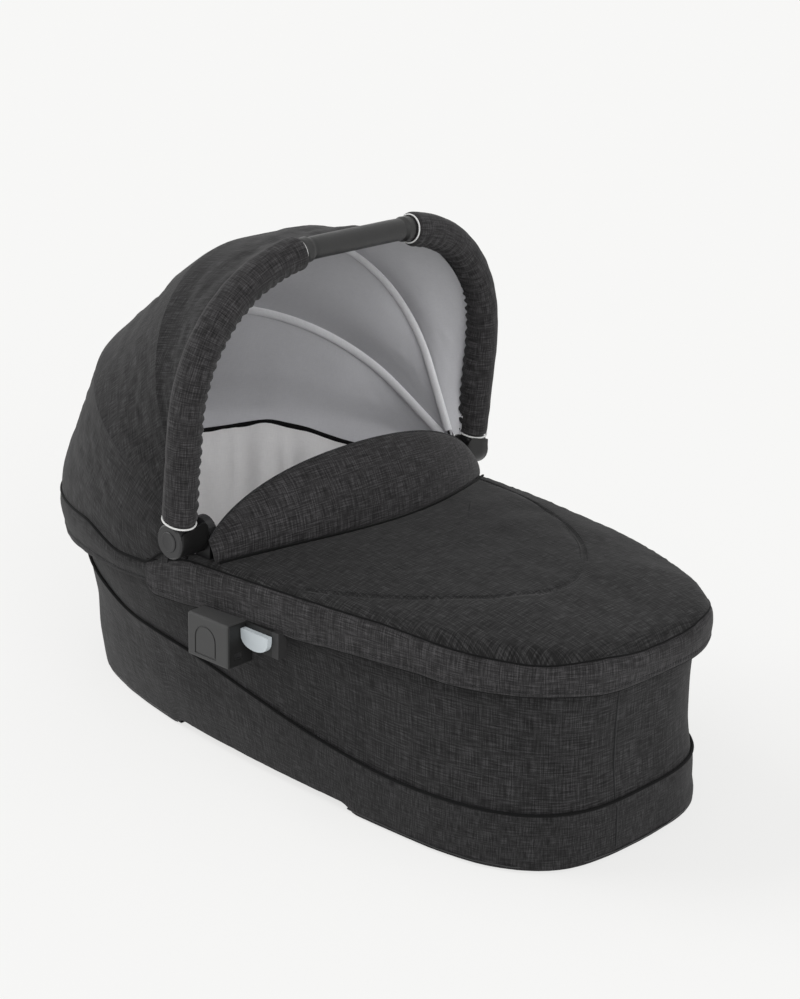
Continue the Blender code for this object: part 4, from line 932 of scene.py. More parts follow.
apron_top = 0.0030
apron_outer_steps = (
    0.0, 0.004, 0.010, 0.020, 0.034, 0.055, 0.09, 0.14, 0.21, 0.3, 0.4, 0.5, 0.6, 0.7, 0.8, 0.88, 0.93,
    0.965, 0.985, 1.0,
)
apron_inner_steps = (0.985, 0.96, 0.92, 0.85, 0.76, 0.66, 0.55, 0.44, 0.33, 0.22, 0.12, 0.03)


def apron_face(x, y):
    """The apron's upper side, with its soft waves."""
    return apron_z(x, y) + apron_top + 0.0010 * wrinkle((x * 0.6, y * 1.3, 0), 16, 1.3)


def apron_relief(edge, point, from_edge, from_seam, u_share):
    """How far the apron rises at a place, by its distances from the rolled edge and the U-shaped seam."""
    x, y = point
    roll = 1 - min(from_edge / 0.012, 1)
    rise = -(0.0040 + seam_drop(*edge)) * roll**2
    gathered = math.exp(-from_edge / 0.014) * (1 - math.exp(-from_edge / 0.002))
    rise += 0.0022 * wrinkle((*edge, 0), 120, 2.0) * gathered
    waves = wrinkle((x * 0.7, y * 0.7, 0), 30, 8.8) * smooth_step(0.0, 0.02, from_edge)
    rise += 0.0020 * waves * (1 - smooth_step(0.9, 1.0, u_share))
    groove = bell(from_seam, 0.0016)
    rise -= 0.0019 * groove * (1 - smooth_step(0.93, 0.985, u_share))
    sewn = wrinkle((x, y, 0), 150, 5.0) * math.exp(-abs(from_seam) / 0.012)
    return rise + 0.0005 * sewn * (1 - groove)


def apron():
    """The cover over the foot end: a crowned sheet with a U-shaped seam and soft edges."""
    ring, seam = apron_boundary(220)
    edge = ring + seam
    reaches, u_shares = [], []
    for x, y in edge:
        way = Vector((x - apron_centre_x, y))
        reaches.append(way.length)
        u_shares.append(min(u_seam_reach(way.normalized(), way.length), 0.985))
    steps = [(share, False) for share in apron_outer_steps] + [(share, True) for share in apron_inner_steps]
    rows = []
    for step, inside in steps:
        row = []
        for k, (corner, reach, u_share) in enumerate(zip(edge, reaches, u_shares)):
            share = u_share * step if inside else mix(1.0, u_share, step)
            x, y = mix(apron_centre_x, corner[0], share), corner[1] * share
            z = apron_face(x, y)
            if k < len(ring):
                z += apron_relief(corner, (x, y), reach * (1 - share), reach * (share - u_share), u_share)
            row.append((x, y, z))
        rows.append(row)
    # The apron is in the darker copy of the charcoal cloth: painted shade.
    cloth = grid_piece("apron_cloth", rows, charcoal_painted_shade, round_row=True, thickness=0.0016, filled=True)
    lay_map(cloth, lambda co, old: (co.x, co.y))
    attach(cloth, "rim")
    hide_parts("apron")


valance_end_x = hub.x - 0.072
valance_corner = 0.022
valance_knots = (
    (-0.100, 0.0490), (-0.053, 0.0475), (-0.020, 0.0443), (0.030, 0.0415), (0.075, 0.0424), (0.104, 0.0436),
    (0.157, 0.0405), (0.190, 0.0390), (0.250, 0.0390), (0.300, 0.0415), (0.335, 0.0402), (0.370, 0.0372),
    (0.400, 0.0335), (0.424, 0.0342),
)


def valance_strip(inset, count):
    """The rim's plan round the foot with its normals, from one end of the valance to the other."""
    side = [point for point in side_line("rim", inset) if point[0] >= valance_end_x]
    line = spread([(x, -y) for x, y in reversed(side)] + side[1:], count)
    return list(zip(line, line_normals(line)))


def valance_depth(x):
    """How far the valance hangs below the rim: its ends have round lower corners."""
    run = min((x - valance_end_x) / valance_corner, 1)
    corner = valance_corner * (1 - math.sqrt(max(1 - (1 - run) ** 2, 0)))
    return through(valance_knots, x) - corner


def valance_point(place_xy, normal, share):
    """A point of the valance's face, from its seam at 0 to its hem at 1."""
    x, y = place_xy
    depth = valance_depth(x)
    top = 0.0042 - seam_drop(x, y) - 0.0145 * (1 - smooth_step(valance_end_x, -0.045, x))
    z = rim_z(x) + top - (depth + top) * share
    belly = math.sin(math.pi * min(share * 1.1, 1)) ** 0.8
    seam = bell(share * depth, 0.0022)
    hem = smooth_step(0.84, 0.87, share) - smooth_step(0.965, 1.0, share)
    run = wrinkle((x, y, 0), 30, 6.0)
    gather = wrinkle((x, y, z * 0.12), 85, 4.4) * (0.35 + 0.65 * math.exp(-share * 5))
    out = 0.0030 + 0.0024 * belly - 0.0022 * seam + 0.0007 * hem + 0.0010 * run * share + 0.0006 * gather
    return Vector((x + normal[0] * out, y + normal[1] * out, z))


def hem_stitches(name, strip, face, share):
    """A row of thread stitches along a hanging cloth, just clear of its face."""
    ways = [Vector((*normal, 0)) for _, normal in strip]
    path = [face(p, n, share) + way * 0.0001 for (p, n), way in zip(strip, ways)]
    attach(stitches(name, path, ways, thread), "rim")


valance_steps = (
    0, 0.02, 0.05, 0.09, 0.15, 0.22, 0.3, 0.4, 0.5, 0.6, 0.7, 0.78, 0.83, 0.845, 0.86, 0.88, 0.92, 0.96,
    0.985, 1.0,
)
# A dark cord along the apron's edge, and a dark cord under the hem's lower edge that is painted shadow where
# the hem meets the wall.
valance_cord_and_painted_shadow = (("apron_edge_cord", 0.0, 0.0004, 0.0004, 8), ("valance_hem_painted_shadow", 1.0, -0.0009, -0.0003, 6))


def valance():
    """The skirt sewn to the apron's edge, which hangs outside the body and ends in a doubled hem."""
    strip = valance_strip(0.001, 360)
    rows = [[valance_point(p, n, share) for p, n in strip] for share in valance_steps]
    # The valance is in the lighter copy of the charcoal cloth: painted light.
    cloth = grid_piece("valance_cloth", rows, charcoal_painted_light, thickness=0.0016, side=-1)
    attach(cloth, "rim")
    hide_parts("valance")
    for name, share in (("valance_hem_thread_upper", 0.825), ("valance_hem_thread_lower", 0.885)):
        hem_stitches(name, strip, valance_point, share)
    # The second of these cords is painted shadow under the hem.
    for name, share, out, rise, sides in valance_cord_and_painted_shadow:
        path = [valance_point(p, n, share) + Vector((n[0] * out, n[1] * out, rise)) for p, n in strip]
        cord = tube_piece(name, path, 0.0010, piping_cloth, sides=sides)
        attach(cord, "rim")


def apron_seam_threads():
    """Stitches on both sides of the apron's U-shaped seam."""
    for name, shift in (("apron_thread_inner", -0.0038), ("apron_thread_outer", 0.0038)):
        path = []
        for k in range(181):
            angle = math.pi * (k / 180) - math.pi / 2
            x = u_seam_from_x + (u_seam_long + shift) * power(math.cos(angle), 2 / u_seam_power)
            y = u_seam_middle_y + (u_seam_wide + shift) * power(math.sin(angle), 2 / u_seam_power)
            if x < flap_line_x(y) + 0.012 or abs(y) > half_width_at("rim", 0.012, x):
                continue
            path.append((x, y, apron_face(x, y) - 0.0001))
        row = stitches(name, path, [(0, 0, 1)] * len(path), thread)
        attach(row, "rim")


# Wind flap

flap_half_width = 0.217
flap_reach = 0.222
flap_lean = math.radians(25)
flap_lean_way = Vector((-math.sin(flap_lean), 0, math.cos(flap_lean)))
flap_normal = Vector((math.cos(flap_lean), 0, math.sin(flap_lean)))


def flap_rise(y):
    """How high the flap stands, a little lower on one side."""
    share = min(abs(y) / flap_reach, 1)
    lopsided = -0.04 * y * (1 - share**4)
    return 0.012 + 0.081 * (1 - share**1.9) ** 0.62 + lopsided


def flap_foot(y):
    """The middle of the flap's foot, on the apron."""
    x = flap_line_x(y) + 0.006
    return Vector((x, y, apron_z(x, y) + 0.0022))


def flap_columns(count):
    """Places across the flap, closer together towards its ends."""
    return [flap_half_width * math.sin(math.pi / 2 * (2 * k / count - 1)) for k in range(count + 1)]


def wind_flap():
    """The padded crescent that stands at the apron's edge: plump, drawn in at its seamed border."""
    front = [(k / 40, 1) for k in range(41)]
    section = front + [(share, -1) for share, _ in reversed(front[1:-1])]
    rows = []
    for y in flap_columns(90):
        foot = flap_foot(y)
        height = flap_rise(y)
        plump = min(height / 0.05, 1)
        row = []
        for share, face in section:
            round_up = math.sqrt(max(1 - abs(2 * share - 1) ** 2.6, 0))
            full = (0.0062 + 0.0014 * wrinkle((y, share * 0.08, face), 24, 3.3)) * round_up
            full += 0.0009 * wrinkle((y * 1.8, share * 0.05, face), 70, 1.1) * math.exp(-share * 6)
            out = (0.005 * math.sin(math.pi * share) + full * face) * plump - 0.001
            row.append(foot + flap_lean_way * height * share + flap_normal * out)
        rows.append(row)
    # The flap is in the lighter copy of the charcoal cloth: painted light.
    flap = grid_piece("wind_flap_cushion", rows, charcoal_painted_light, round_row=True)
    cap_ends(flap, len(rows[0]), len(rows))
    lay_map(flap, lambda co, old: (co.y, co.dot(flap_lean_way)))
    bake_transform(flap)
    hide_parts("wind_flap")


def flap_trim():
    """The cord round the flap's top and the folded binding at its foot."""
    top, foot = [], []
    for y in flap_columns(160):
        base = flap_foot(y)
        top.append(base + flap_lean_way * (flap_rise(y) + 0.0004) + flap_normal * -0.001)
        foot.append(base + flap_normal * 0.0052 + Vector((0, 0, -0.0012)))
    cord = tube_piece("wind_flap_cord", top, 0.0013, charcoal_cord, sides=8)
    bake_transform(cord)
    binding = tube_piece("wind_flap_binding", foot, 0.0023, piping_cloth, sides=8, flat=0.7)
    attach(binding, "rim")


# Hood


corner_steps = 24


def bow_line(from_radius, half, radius, corner, share):
    """Half of a U in (radius, y): a straight leg from the hub, a superellipse corner and a flat top."""
    line = [(from_radius, half), (radius - corner, half)]
    for k in range(1, corner_steps + 1):
        angle = math.pi / 2 * k / corner_steps
        rise = corner * power(math.sin(angle), 2 / share)
        line.append((radius - corner + rise, half - corner + corner * power(math.cos(angle), 2 / share)))
    line.append((radius, 0.0))
    return line


def hub_way(angle):
    """A direction square to the hub's axis: 0 points to the head end, 90 degrees points up."""
    return Vector((-math.cos(angle), 0, math.sin(angle)))


hood_start = 0.0203
hood_corner = 0.190
hood_count = 61
hood_insets = ((0, -0.0008), (30, 0.0058), (66, 0.0108), (93.4, 0.0185))
section_cache = {}


def hood_inset(angle):
    """How far the hood lies inside its outermost form at an angle: just outside each rib."""
    turn = min(max(math.degrees(angle), hood_insets[0][0]), hood_insets[-1][0])
    for (low, a), (high, b) in zip(hood_insets, hood_insets[1:]):
        if turn <= high:
            return mix(a, b, (turn - low) / (high - low))
    return hood_insets[-1][1]


def hood_section(angle, depth):
    """Half of the hood's section at an angle: (radius, y) from the hub to the top's middle."""
    key = (round(angle, 5), round(depth, 5))
    if key in section_cache:
        return section_cache[key]
    inset = hood_inset(angle) + depth
    flare = 0.0265 * smooth_step(math.radians(68), math.radians(93), angle)
    outline = bow_line(hood_start, hood_half - inset + flare, hood_radius - inset, hood_corner, 2.0)
    rim = [(hub.x - x, y) for x, y in side_line("rim", inset) if x <= hub.x - hood_start]
    swell = (min(max(hood_swell_from - angle, 0), hood_swell_from) / hood_swell_from) ** hood_swell_power
    made = []
    for bow, plan in zip(spread(outline, hood_count), spread(rim, hood_count)):
        radius, y = between(bow, plan, swell)
        tucked = 1 - smooth_step(0.030, 0.085, radius)
        made.append((radius, y - flare * tucked * 0.45))
    section_cache[key] = made
    return made


def hood_dip(x):
    """How far the hood's lower edge dips below the rim's top, near the valance's ends."""
    return 0.0215 * smooth_step(-0.250, -0.165, x) * (1 - smooth_step(-0.128, -0.085, x))


def hood_seat_angle(radius, dips=True):
    """The angle at which the hood's edge meets the rim."""
    angle = 0.0
    for _ in range(6):
        x = hub.x - radius * math.cos(angle)
        height = rim_z(x) + 0.0072 - (hood_dip(x) if dips else 0)
        angle = -math.asin(min(max((hub.z - height) / radius, -1), 1))
    return angle


def sag(share, t, amount):
    """How far cloth hangs in between two ribs: most in the middle of the gore, over the top."""
    across = math.sin(math.pi * share) ** 1.1
    along = smooth_step(0.10, 0.45, t) * (1 - 0.35 * smooth_step(0.75, 1.0, t))
    return amount * across * along


def gore_points(first, last, depth, rows, amount, inner):
    """A grid over one gore of the hood, from its rear edge to its front edge, across both sides. The
    first edge is an angle or the rim, and inner is 1 for the lining."""
    grid = []
    for row in range(rows + 1):
        share = row / rows
        drawn = depth
        if first == "rim" and inner:
            drawn += 0.0240 * max(1 - share / 0.35, 0) ** 2
        right, left = [], []
        for k in range(hood_count):
            t = k / (hood_count - 1)
            start = first
            if first == "rim":
                start = hood_seat_angle(hood_section(0.0, drawn)[k][0], not inner)
            angle = mix(start, last, share)
            radius, y = hood_section(angle, drawn)[k]
            drop = sag(share, t, amount)
            fan = smooth_step(0.05, 0.3, t) * math.sin(math.pi * share)
            for sign, store, seed in ((1, left, 2.0), (-1, right, 11.0)):
                fold = wrinkle((share * 0.42 + t * 0.10, t * 0.35, seed), 10, seed + inner * 5)
                fine = wrinkle((share * 0.30, t * 0.9, seed), 26, seed + 3 + inner * 5)
                soft = (0.0024 * fold + 0.0008 * fine if inner else 0.0056 * fold + 0.0024 * fine) * fan
                out = radius - drop - soft * smooth_step(0.4, 0.9, t)
                wide = y - (drop * 0.55 + soft) * (1 - smooth_step(0.55, 0.95, t))
                store.append(hub + hub_way(angle) * out + Vector((0, sign * wide, 0)))
        grid.append(left + right[-2::-1])
    return grid


gores = (
    ("rear", "rim", rear_rib, "rim", "rear_bow", 0.0085, ("canopy_rear",)),
    ("middle", rear_rib, front_rib, "rear_bow", "front_bow", 0.0100, ("canopy_panel_1", "canopy_panel_2")),
    (
        "front", front_rib, bow_angle - math.radians(2.2), "front_bow", "handle", 0.0050,
        ("canopy_panel_3", "canopy_hem"),
    ),
)


def hood():
    """The hood: three gores of cloth over two ribs and the handle, and their lining."""
    for name, first, last, body_a, body_b, amount, solids in gores:
        def fanned(co, old):
            way = co - hub
            return old.x, math.hypot(way.x, way.z) * (math.atan2(way.z, -way.x) - last)

        outer = gore_points(first, last, 0.0, 26, amount, 0)
        cloth = grid_piece(f"hood_{name}_cloth", outer, charcoal, thickness=0.0014)
        lay_map(cloth, fanned)
        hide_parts(*solids)
        inner = gore_points(first, last, 0.0030, 22, amount + 0.0065, 1)
        inside = grid_piece(f"hood_{name}_lining", inner, lining, thickness=0.0008, side=-1)
        for sheet, grid, slot in ((cloth, outer, "cloth_charcoal"), (inside, inner, "cloth_grey")):
            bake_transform(sheet)


def rib_tapes():
    """The pale sleeves of the lining that hold the ribs."""
    for name, angle, body in (("rear", rear_rib, "rear_bow"), ("front", front_rib, "front_bow")):
        section = hood_section(angle, 0.0046)
        path = mirrored([hub + hub_way(angle) * r + Vector((0, y, 0)) for r, y in section])[1:-1]
        wide = hub_way(angle + math.pi / 2)
        tape = tube_piece(f"hood_{name}_rib_tape", path, 0.0062, rib_cloth, sides=12, flat=0.44, wide=wide)
        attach(tape, body)


def hood_hem():
    """The hood's lower edge along the rim, bound in a dark cord."""
    half = []
    for radius, y in hood_section(0.0, -0.0006):
        half.append(hub + hub_way(hood_seat_angle(radius)) * radius + Vector((0, y, -0.0002)))
    cord = tube_piece("hood_hem_cord", mirrored(half), 0.0017, piping_cloth, sides=8)
    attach(cord, "rim")


skirt_depth = 0.0400
skirt_end_x = hub.x - 0.030
skirt_steps = (0, 0.06, 0.12, 0.2, 0.3, 0.4, 0.5, 0.6, 0.7, 0.78, 0.83, 0.845, 0.86, 0.9, 0.95, 0.985, 1.0)


def skirt_point(place_xy, normal, share):
    """A point of the hood's skirt, from its seam at 0 to its hem at 1."""
    x, y = place_xy
    z = mix(rim_z(x) + 0.0070 - hood_dip(x), rim_z(x) - skirt_depth, share)
    wave = wrinkle((x, y, z * 0.15), 34, 12.0)
    fine = wrinkle((x, y, z * 0.12), 90, 15.0)
    tuck = -0.0040 * smooth_step(0.25, 1.0, share)
    hem = 0.0007 * (smooth_step(0.84, 0.87, share) - smooth_step(0.97, 1.0, share))
    belly = 0.0016 * math.sin(math.pi * min(share * 1.2, 1))
    out = 0.0006 + belly + tuck + hem + (0.0010 * wave + 0.0004 * fine) * share
    return Vector((x + normal[0] * out, y + normal[1] * out, z))


def hood_skirt():
    """The hood's skirt, which hangs over the rim round the head end."""
    side = [point for point in side_line("rim") if point[0] <= skirt_end_x]
    line = spread(side + [(x, -y) for x, y in reversed(side)][1:], 300)
    strip = list(zip(line, line_normals(line)))
    rows = [[skirt_point(p, n, share) for p, n in strip] for share in skirt_steps]
    cloth = grid_piece("hood_skirt_cloth", rows, charcoal, thickness=0.0012, side=-1)
    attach(cloth, "rim")
    hem_stitches("hood_skirt_thread", strip, skirt_point, 0.845)


def head_binding():
    """The dark binding along the liner's top edge, inside the hood."""
    path = [(x, y, rim_z(x) + 0.0082 + head_rise(x)) for x, y in plan_ring("rim", 0.0300, rim_columns)]
    band = tube_piece("liner_binding", path, 0.0034, piping_cloth, closed=True, sides=8)
    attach(band, "rim")


# Handle


bow_away = hub_way(bow_angle)
bow_side = hub_way(bow_angle - math.pi / 2)
bow_count = 361
grip_half_length = 0.0900
grip_radius = 0.0128
sleeve_radius = 0.0192
sleeve_foot_run = 0.0012
sleeve_slant = 0.0036
ruche_pitch = 0.0125


def bow_path():
    """The handle tube's middle line, from the left hub to the right one."""
    half = bow_line(bow_foot, bow_half, bow_radius, bow_corner, bow_power)
    whole = half + [(radius, -y) for radius, y in reversed(half[:-1])]
    return [hub + bow_away * radius + Vector((0, y, 0)) for radius, y in spread(whole, bow_count)]


def bow_ring(path, k, radii):
    """A ring of points round the bow at a station, with radii for each direction."""
    a, b = path[max(k - 1, 0)], path[min(k + 1, len(path) - 1)]
    across = (b - a).normalized().cross(bow_side).normalized()
    ring = []
    for i, radius in enumerate(radii):
        angle = 2 * math.pi * i / len(radii)
        ring.append(path[k] + (bow_side * math.cos(angle) + across * math.sin(angle)) * radius)
    return ring


def slanted(ring, path, k):
    """A ring near a foot of the handle, tipped so that it ends higher on the hood's side."""
    fade = max(1 - min(k, len(path) - 1 - k) / 24, 0)
    tip = sleeve_slant * fade / sleeve_radius
    return [p + bow_away * (p - path[k]).dot(bow_side) * tip for p in ring]


def rounded_mouth(end, length):
    """How far a padded piece has come to its full width, at a distance from its end."""
    return math.sqrt(max(1 - (1 - min(end / length, 1)) ** 2, 0))


def stations(lengths, first, last):
    """The stations of a piece of the bow: the number, the run from its start and the distance from
    the nearer end."""
    total = lengths[last] - lengths[first]
    runs = [(k, lengths[k] - lengths[first]) for k in range(first, last + 1)]
    return [(k, run, min(run, total - run)) for k, run in runs]


def bow_sleeve(name, path, lengths, first, last):
    """Padding on one side of the handle: gathered along its inner side, woven smooth outside."""
    sides = 40
    rows = []
    for k, run, end in stations(lengths, first, last):
        width = mix(0.80, 1.0, rounded_mouth(end, 0.006))
        radii = []
        for i in range(sides):
            angle = 2 * math.pi * i / sides
            inner = max(math.sin(angle), 0) ** 1.3
            wander = 1.3 * wrinkle((run, angle * 0.1, 0), 30, 5)
            ruche = 0.0017 * math.sin(run * 2 * math.pi / ruche_pitch + wander) * inner
            soft = 0.0006 * wrinkle((run, math.cos(angle) * 0.02, math.sin(angle) * 0.02), 60, 9)
            seam = -0.0007 * math.exp(-((angle - 1.5 * math.pi) ** 2) / 0.003)
            radii.append((sleeve_radius + ruche + soft + seam) * width)
        rows.append(slanted(bow_ring(path, k, radii), path, k))
    # The sleeve is in the lighter copy of the charcoal cloth: painted light.
    sleeve = grid_piece(name, rows, charcoal_painted_light, round_row=True)
    cap_ends(sleeve, sides, len(rows))
    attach(sleeve, "handle")
    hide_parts("bow_sleeve_left" if "left" in name else "bow_sleeve_right")


def carry_grip(path, lengths, first, last):
    """The leatherette grip, with a collar at each end."""
    sides = 36
    rows = []
    for k, _, end in stations(lengths, first, last):
        collar = 0.0016 if end < 0.0150 else 0
        groove = 0.0012 * bell(end - 0.0160, 0.0009)
        radius = (grip_radius + collar - groove) * mix(0.86, 1, rounded_mouth(end, 0.0025))
        rows.append(bow_ring(path, k, [radius] * sides))
    grip = grid_piece("carry_grip_leather", rows, black_leather, round_row=True)
    cap_ends(grip, sides, len(rows))
    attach(grip, "handle")
    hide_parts("carry_grip")


def bow_pieces():
    """All that is wrapped round the handle's tube, with the light cords at its seams."""
    path = bow_path()
    lengths = run_lengths(path)
    last = len(path) - 1
    start = next(k for k in range(last) if lengths[k] >= sleeve_foot_run)
    middle = lengths[-1] / 2
    grip_from = next(k for k in range(last) if lengths[k] >= middle - grip_half_length)
    bow_sleeve("bow_sleeve_left_padding", path, lengths, start, grip_from)
    bow_sleeve("bow_sleeve_right_padding", path, lengths, last - grip_from, last - start)
    carry_grip(path, lengths, grip_from, last - grip_from)
    cords = (
        ("grip_cord_left", grip_from, 0.0162, 0.0009), ("grip_cord_right", last - grip_from, 0.0146, 0.0009),
        ("sleeve_foot_cord_left", start, 0.0186, 0.0011),
        ("sleeve_foot_cord_right", last - start, 0.0186, 0.0011),
    )
    for name, k, radius, thick in cords:
        ring = slanted(bow_ring(path, k, [radius] * 32), path, k)
        cord = tube_piece(name, ring, thick, white_cord, closed=True, sides=8)
        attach(cord, "handle")


housing_radius = 0.0204
housing_wall = 0.0028
housing_levels = (
    (0.2104, 0.0024, 0.006), (0.2108, 0.0010, 0.009), (0.2120, 0.0002, 0.012), (0.2150, 0.0, 0.018),
    (0.2190, 0.0, 0.022), (0.2230, 0.0, 0.021), (0.2380, 0.0, 0.018), (0.2490, 0.0, 0.015),
    (0.2505, 0.0006, 0.013), (0.2514, 0.0020, 0.011),
)


def hub_housing(name, sign):
    """The moulded shroud between the knob and the body: a drum behind the knob's face that runs up
    into the sleeve on the foot side. It is open at its rear top, for the ribs' ends. A level has its
    distance from the middle, how far its edge is rounded off, and the height of its upper edge."""
    rows = []
    for y, rounded_off, top in housing_levels:
        radius = housing_radius - rounded_off
        outline = []
        for k in range(37):
            angle = math.radians(mix(-6, 180, k / 36))
            outline.append((-radius * math.cos(angle), -radius * math.sin(angle)))
        for share in (0.35, 0.7, 1.0):
            outline.append((radius * mix(1, 0.95, share), top * share))
        rows.append([hub - bow_side * a + bow_away * b + Vector((0, sign * y, 0)) for a, b in outline])
    shroud = grid_piece(name, rows, gloss_plastic, thickness=housing_wall, side=-sign)
    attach(shroud, "handle")


# Mattress


plump_cap = 0.006
plump_share = 0.6
filling = {
    "quality": 6, "mass": 0.4, "tension_stiffness": 30, "compression_stiffness": 30, "bending_stiffness": 4,
    "use_pressure": True, "uniform_pressure_force": 4,
}
filling_frames = 14


def bake(thing):
    """Applies a thing's modifiers to its mesh."""
    graph = bpy.context.evaluated_depsgraph_get()
    finished = bpy.data.meshes.new_from_object(thing.evaluated_get(graph))
    thing.modifiers.clear()
    thing.data = finished


def plumped(thing):
    """Settles a closed cushion under its own filling: a short cloth run with pressure inside."""
    remesh = thing.modifiers.new("even", "REMESH")
    remesh.mode = "VOXEL"
    remesh.voxel_size = 0.006
    bake(thing)
    cloth = thing.modifiers.new("filling", "CLOTH")
    for key, value in filling.items():
        setattr(cloth.settings, key, value)
    cloth.settings.effector_weights.gravity = 0
    cloth.point_cache.frame_start = 1
    cloth.point_cache.frame_end = filling_frames
    start = [vert.co.copy() for vert in thing.data.vertices]
    scene = bpy.context.scene
    for moment in range(1, filling_frames + 1):
        scene.frame_set(moment)
    bake(thing)
    scene.frame_set(1)
    for vert, was in zip(thing.data.vertices, start):
        moved = vert.co - was
        if moved.length > plump_cap:
            moved = moved.normalized() * plump_cap
        vert.co = was + moved * plump_share
    smoother = thing.modifiers.new("smooth", "SUBSURF")
    smoother.levels = 1
    bake(thing)
    for polygon in thing.data.polygons:
        polygon.use_smooth = True


mattress_low = 0.0532
mattress_high = mattress_low + 0.032
mattress_middle_x = 0.010
mattress_columns = 160
mattress_side = (
    (1.0, 0.0), (0.45, 0.05), (0.12, 0.18), (0.0, 0.38), (0.0, 0.62), (0.14, 0.85), (0.5, 0.97), (1.0, 1.02)
)


def mattress_ring(inset):
    """The mattress's plan, drawn in."""
    return plan_ring("base", inset, mattress_columns)


def drawn_to_middle(ring, share):
    """A plan ring shrunk to the mattress's middle."""
    return [(mix(mattress_middle_x, x, share), y * share) for x, y in ring]


def mattress():
    """The foam mattress in white ticking: crowned, with a piped edge."""
    edge = mattress_ring(0.044)
    rows = [[(x, y, mattress_low) for x, y in drawn_to_middle(edge, 0.05)]]
    for tuck, rise in mattress_side:
        z = mix(mattress_low, mattress_high, rise)
        rows.append([(x, y, z) for x, y in mattress_ring(0.034 + tuck * 0.010)])
    for share in (0.94, 0.85, 0.72, 0.56, 0.38, 0.2, 0.04):
        ring = drawn_to_middle(edge, share)
        z = mattress_high + 0.0006 + 0.0060 * (1 - share**2.5)
        rows.append([(x, y, z + 0.0012 * wrinkle((x, y, 0), 22, 6.6)) for x, y in ring])
    pad = grid_piece("mattress_pad", rows, ticking, round_row=True, filled=True)

    def close(shell):
        bmesh.ops.holes_fill(shell, edges=[e for e in shell.edges if e.is_boundary], sides=0)

    rework(pad.data, close)
    plumped(pad)
    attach(pad, "base")
    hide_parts("mattress")
    for name, z in (("upper", mattress_high - 0.0006), ("lower", mattress_low + 0.0016)):
        path = [(x, y, z) for x, y in mattress_ring(0.0380)]
        cord = tube_piece(f"mattress_cord_{name}", path, 0.0014, ticking, closed=True, sides=8)
        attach(cord, "base")


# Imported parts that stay, with their materials


def dress_nodes():
    """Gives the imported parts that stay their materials."""
    finishes = {
        "base_tray": black_plastic, "base_board": board_card, "rim_tube": aluminium, "bow_tube": aluminium,
        "stay_head": steel, "stay_foot": steel,
        "canopy_rib_rear": black_plastic, "canopy_rib_front": black_plastic,
    }
    for end in ("head", "foot"):
        for side in ("left", "right"):
            finishes[f"foot_pad_{end}_{side}"] = rubber
            finishes[f"stay_clip_{end}_{side}"] = black_plastic
    for side in ("left", "right"):
        finishes[f"hub_mount_{side}"] = black_plastic
        finishes[f"hub_pin_{side}"] = steel
        finishes[f"handle_hub_{side}"] = black_plastic
        finishes[f"hub_button_{side}"] = black_plastic
        name = f"adapter_{side}"
        finishes[name] = adapter_plastic(f"{name}_plastic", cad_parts[name])
        finishes[f"release_lever_{side}"] = pale_plastic
        finishes[f"latch_{side}"] = black_plastic
    for name, finish in finishes.items():
        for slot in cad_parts[name].material_slots:
            slot.material = finish


# Floor, light and camera


backdrop_color = (0.92, 0.92, 0.912, 1)
floor_glow_color = (0.955, 0.953, 0.945, 1)
floor_glow_share = 0.76
floor_half = 60
lamps = (
    ("key", 1.15, 35, (0.95, -0.45, 0.60)),
    ("back", 1.30, 40, (-0.80, -0.35, 0.75)),
)


def seen_rays(tree):
    """1 for rays that show a thing to the camera, directly or by gloss or glass, 0 for light on it."""
    rays = node(tree, "ShaderNodeLightPath")
    direct = math_node(tree, "MAXIMUM", rays.outputs["Is Camera Ray"], rays.outputs["Is Glossy Ray"])
    return math_node(tree, "MAXIMUM", direct, rays.outputs["Is Transmission Ray"])


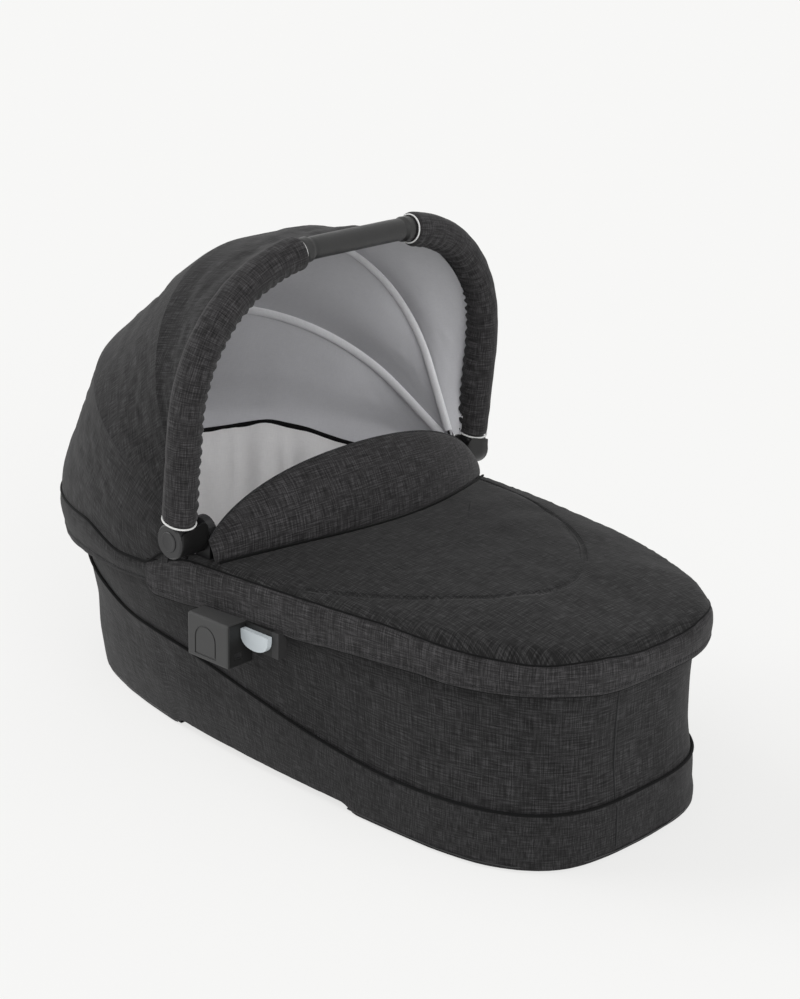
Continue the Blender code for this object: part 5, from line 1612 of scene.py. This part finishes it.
def studio():
    """The paper floor, the even backdrop and the lamps."""
    floor_mesh = bpy.data.meshes.new("floor")
    corners = [(x * floor_half, y * floor_half, 0) for x, y in ((-1, -1), (1, -1), (1, 1), (-1, 1))]
    floor_mesh.from_pydata(corners, [], [(0, 1, 2, 3)])
    paper, tree, shader = principled("floor_paper", (0.905, 0.905, 0.895), 1.0)
    shader.inputs["Specular IOR Level"].default_value = 0.0
    glow = node(tree, "ShaderNodeEmission")
    glow.inputs["Color"].default_value = floor_glow_color
    plain = node(tree, "ShaderNodeMixShader")
    tree.links.new(math_node(tree, "MULTIPLY", seen_rays(tree), floor_glow_share), plain.inputs["Fac"])
    tree.links.new(shader.outputs["BSDF"], plain.inputs[1])
    tree.links.new(glow.outputs["Emission"], plain.inputs[2])
    tree.links.new(plain.outputs["Shader"], tree.nodes["Material Output"].inputs["Surface"])
    place("floor", floor_mesh, paper)
    world = bpy.data.worlds.new("studio")
    bpy.context.scene.world = world
    world.use_nodes = True
    tree = world.node_tree
    back = tree.nodes["Background"]
    back.inputs["Color"].default_value = (1, 1, 1, 1)
    back.inputs["Strength"].default_value = 0.50
    seen = node(tree, "ShaderNodeBackground")
    seen.inputs["Color"].default_value = backdrop_color
    switch = node(tree, "ShaderNodeMixShader")
    tree.links.new(seen_rays(tree), switch.inputs["Fac"])
    tree.links.new(back.outputs["Background"], switch.inputs[1])
    tree.links.new(seen.outputs["Background"], switch.inputs[2])
    tree.links.new(switch.outputs["Shader"], tree.nodes["World Output"].inputs["Surface"])
    for name, strength, angle, way in lamps:
        lamp = bpy.data.lights.new(name, "SUN")
        lamp.energy = strength
        lamp.angle = math.radians(angle)
        thing = bpy.data.objects.new(name, lamp)
        thing.rotation_mode = "QUATERNION"
        thing.rotation_quaternion = Vector(way).to_track_quat("Z", "Y")
        bpy.context.scene.collection.objects.link(thing)


def camera():
    """The camera as fitted to the photograph."""
    lens = bpy.data.cameras.new("camera")
    lens.lens = camera_lens
    lens.sensor_width = 36
    thing = bpy.data.objects.new("camera", lens)
    back = camera_back.normalized()
    right = camera_up.cross(back).normalized()
    up = back.cross(right)
    turn = Matrix((right, up, back)).transposed()
    thing.matrix_world = Matrix.Translation(camera_place) @ turn.to_4x4()
    bpy.context.scene.collection.objects.link(thing)
    bpy.context.scene.camera = thing


camera()
studio()
dress_nodes()
side_wall()
lower_band()
band_piping()
upright_seam("foot_end_seam", -foot_seam_columns)
upright_seam("head_end_seam", wall_columns // 2)
rim_binding()
wall_top_piping()
liner()
apron()
apron_seam_threads()
valance()
wind_flap()
flap_trim()
hood()
rib_tapes()
hood_hem()
hood_skirt()
head_binding()
bow_pieces()
hub_housing("hub_housing_left", 1)
hub_housing("hub_housing_right", -1)
mattress()

bpy.context.scene.view_settings.view_transform = "Standard"
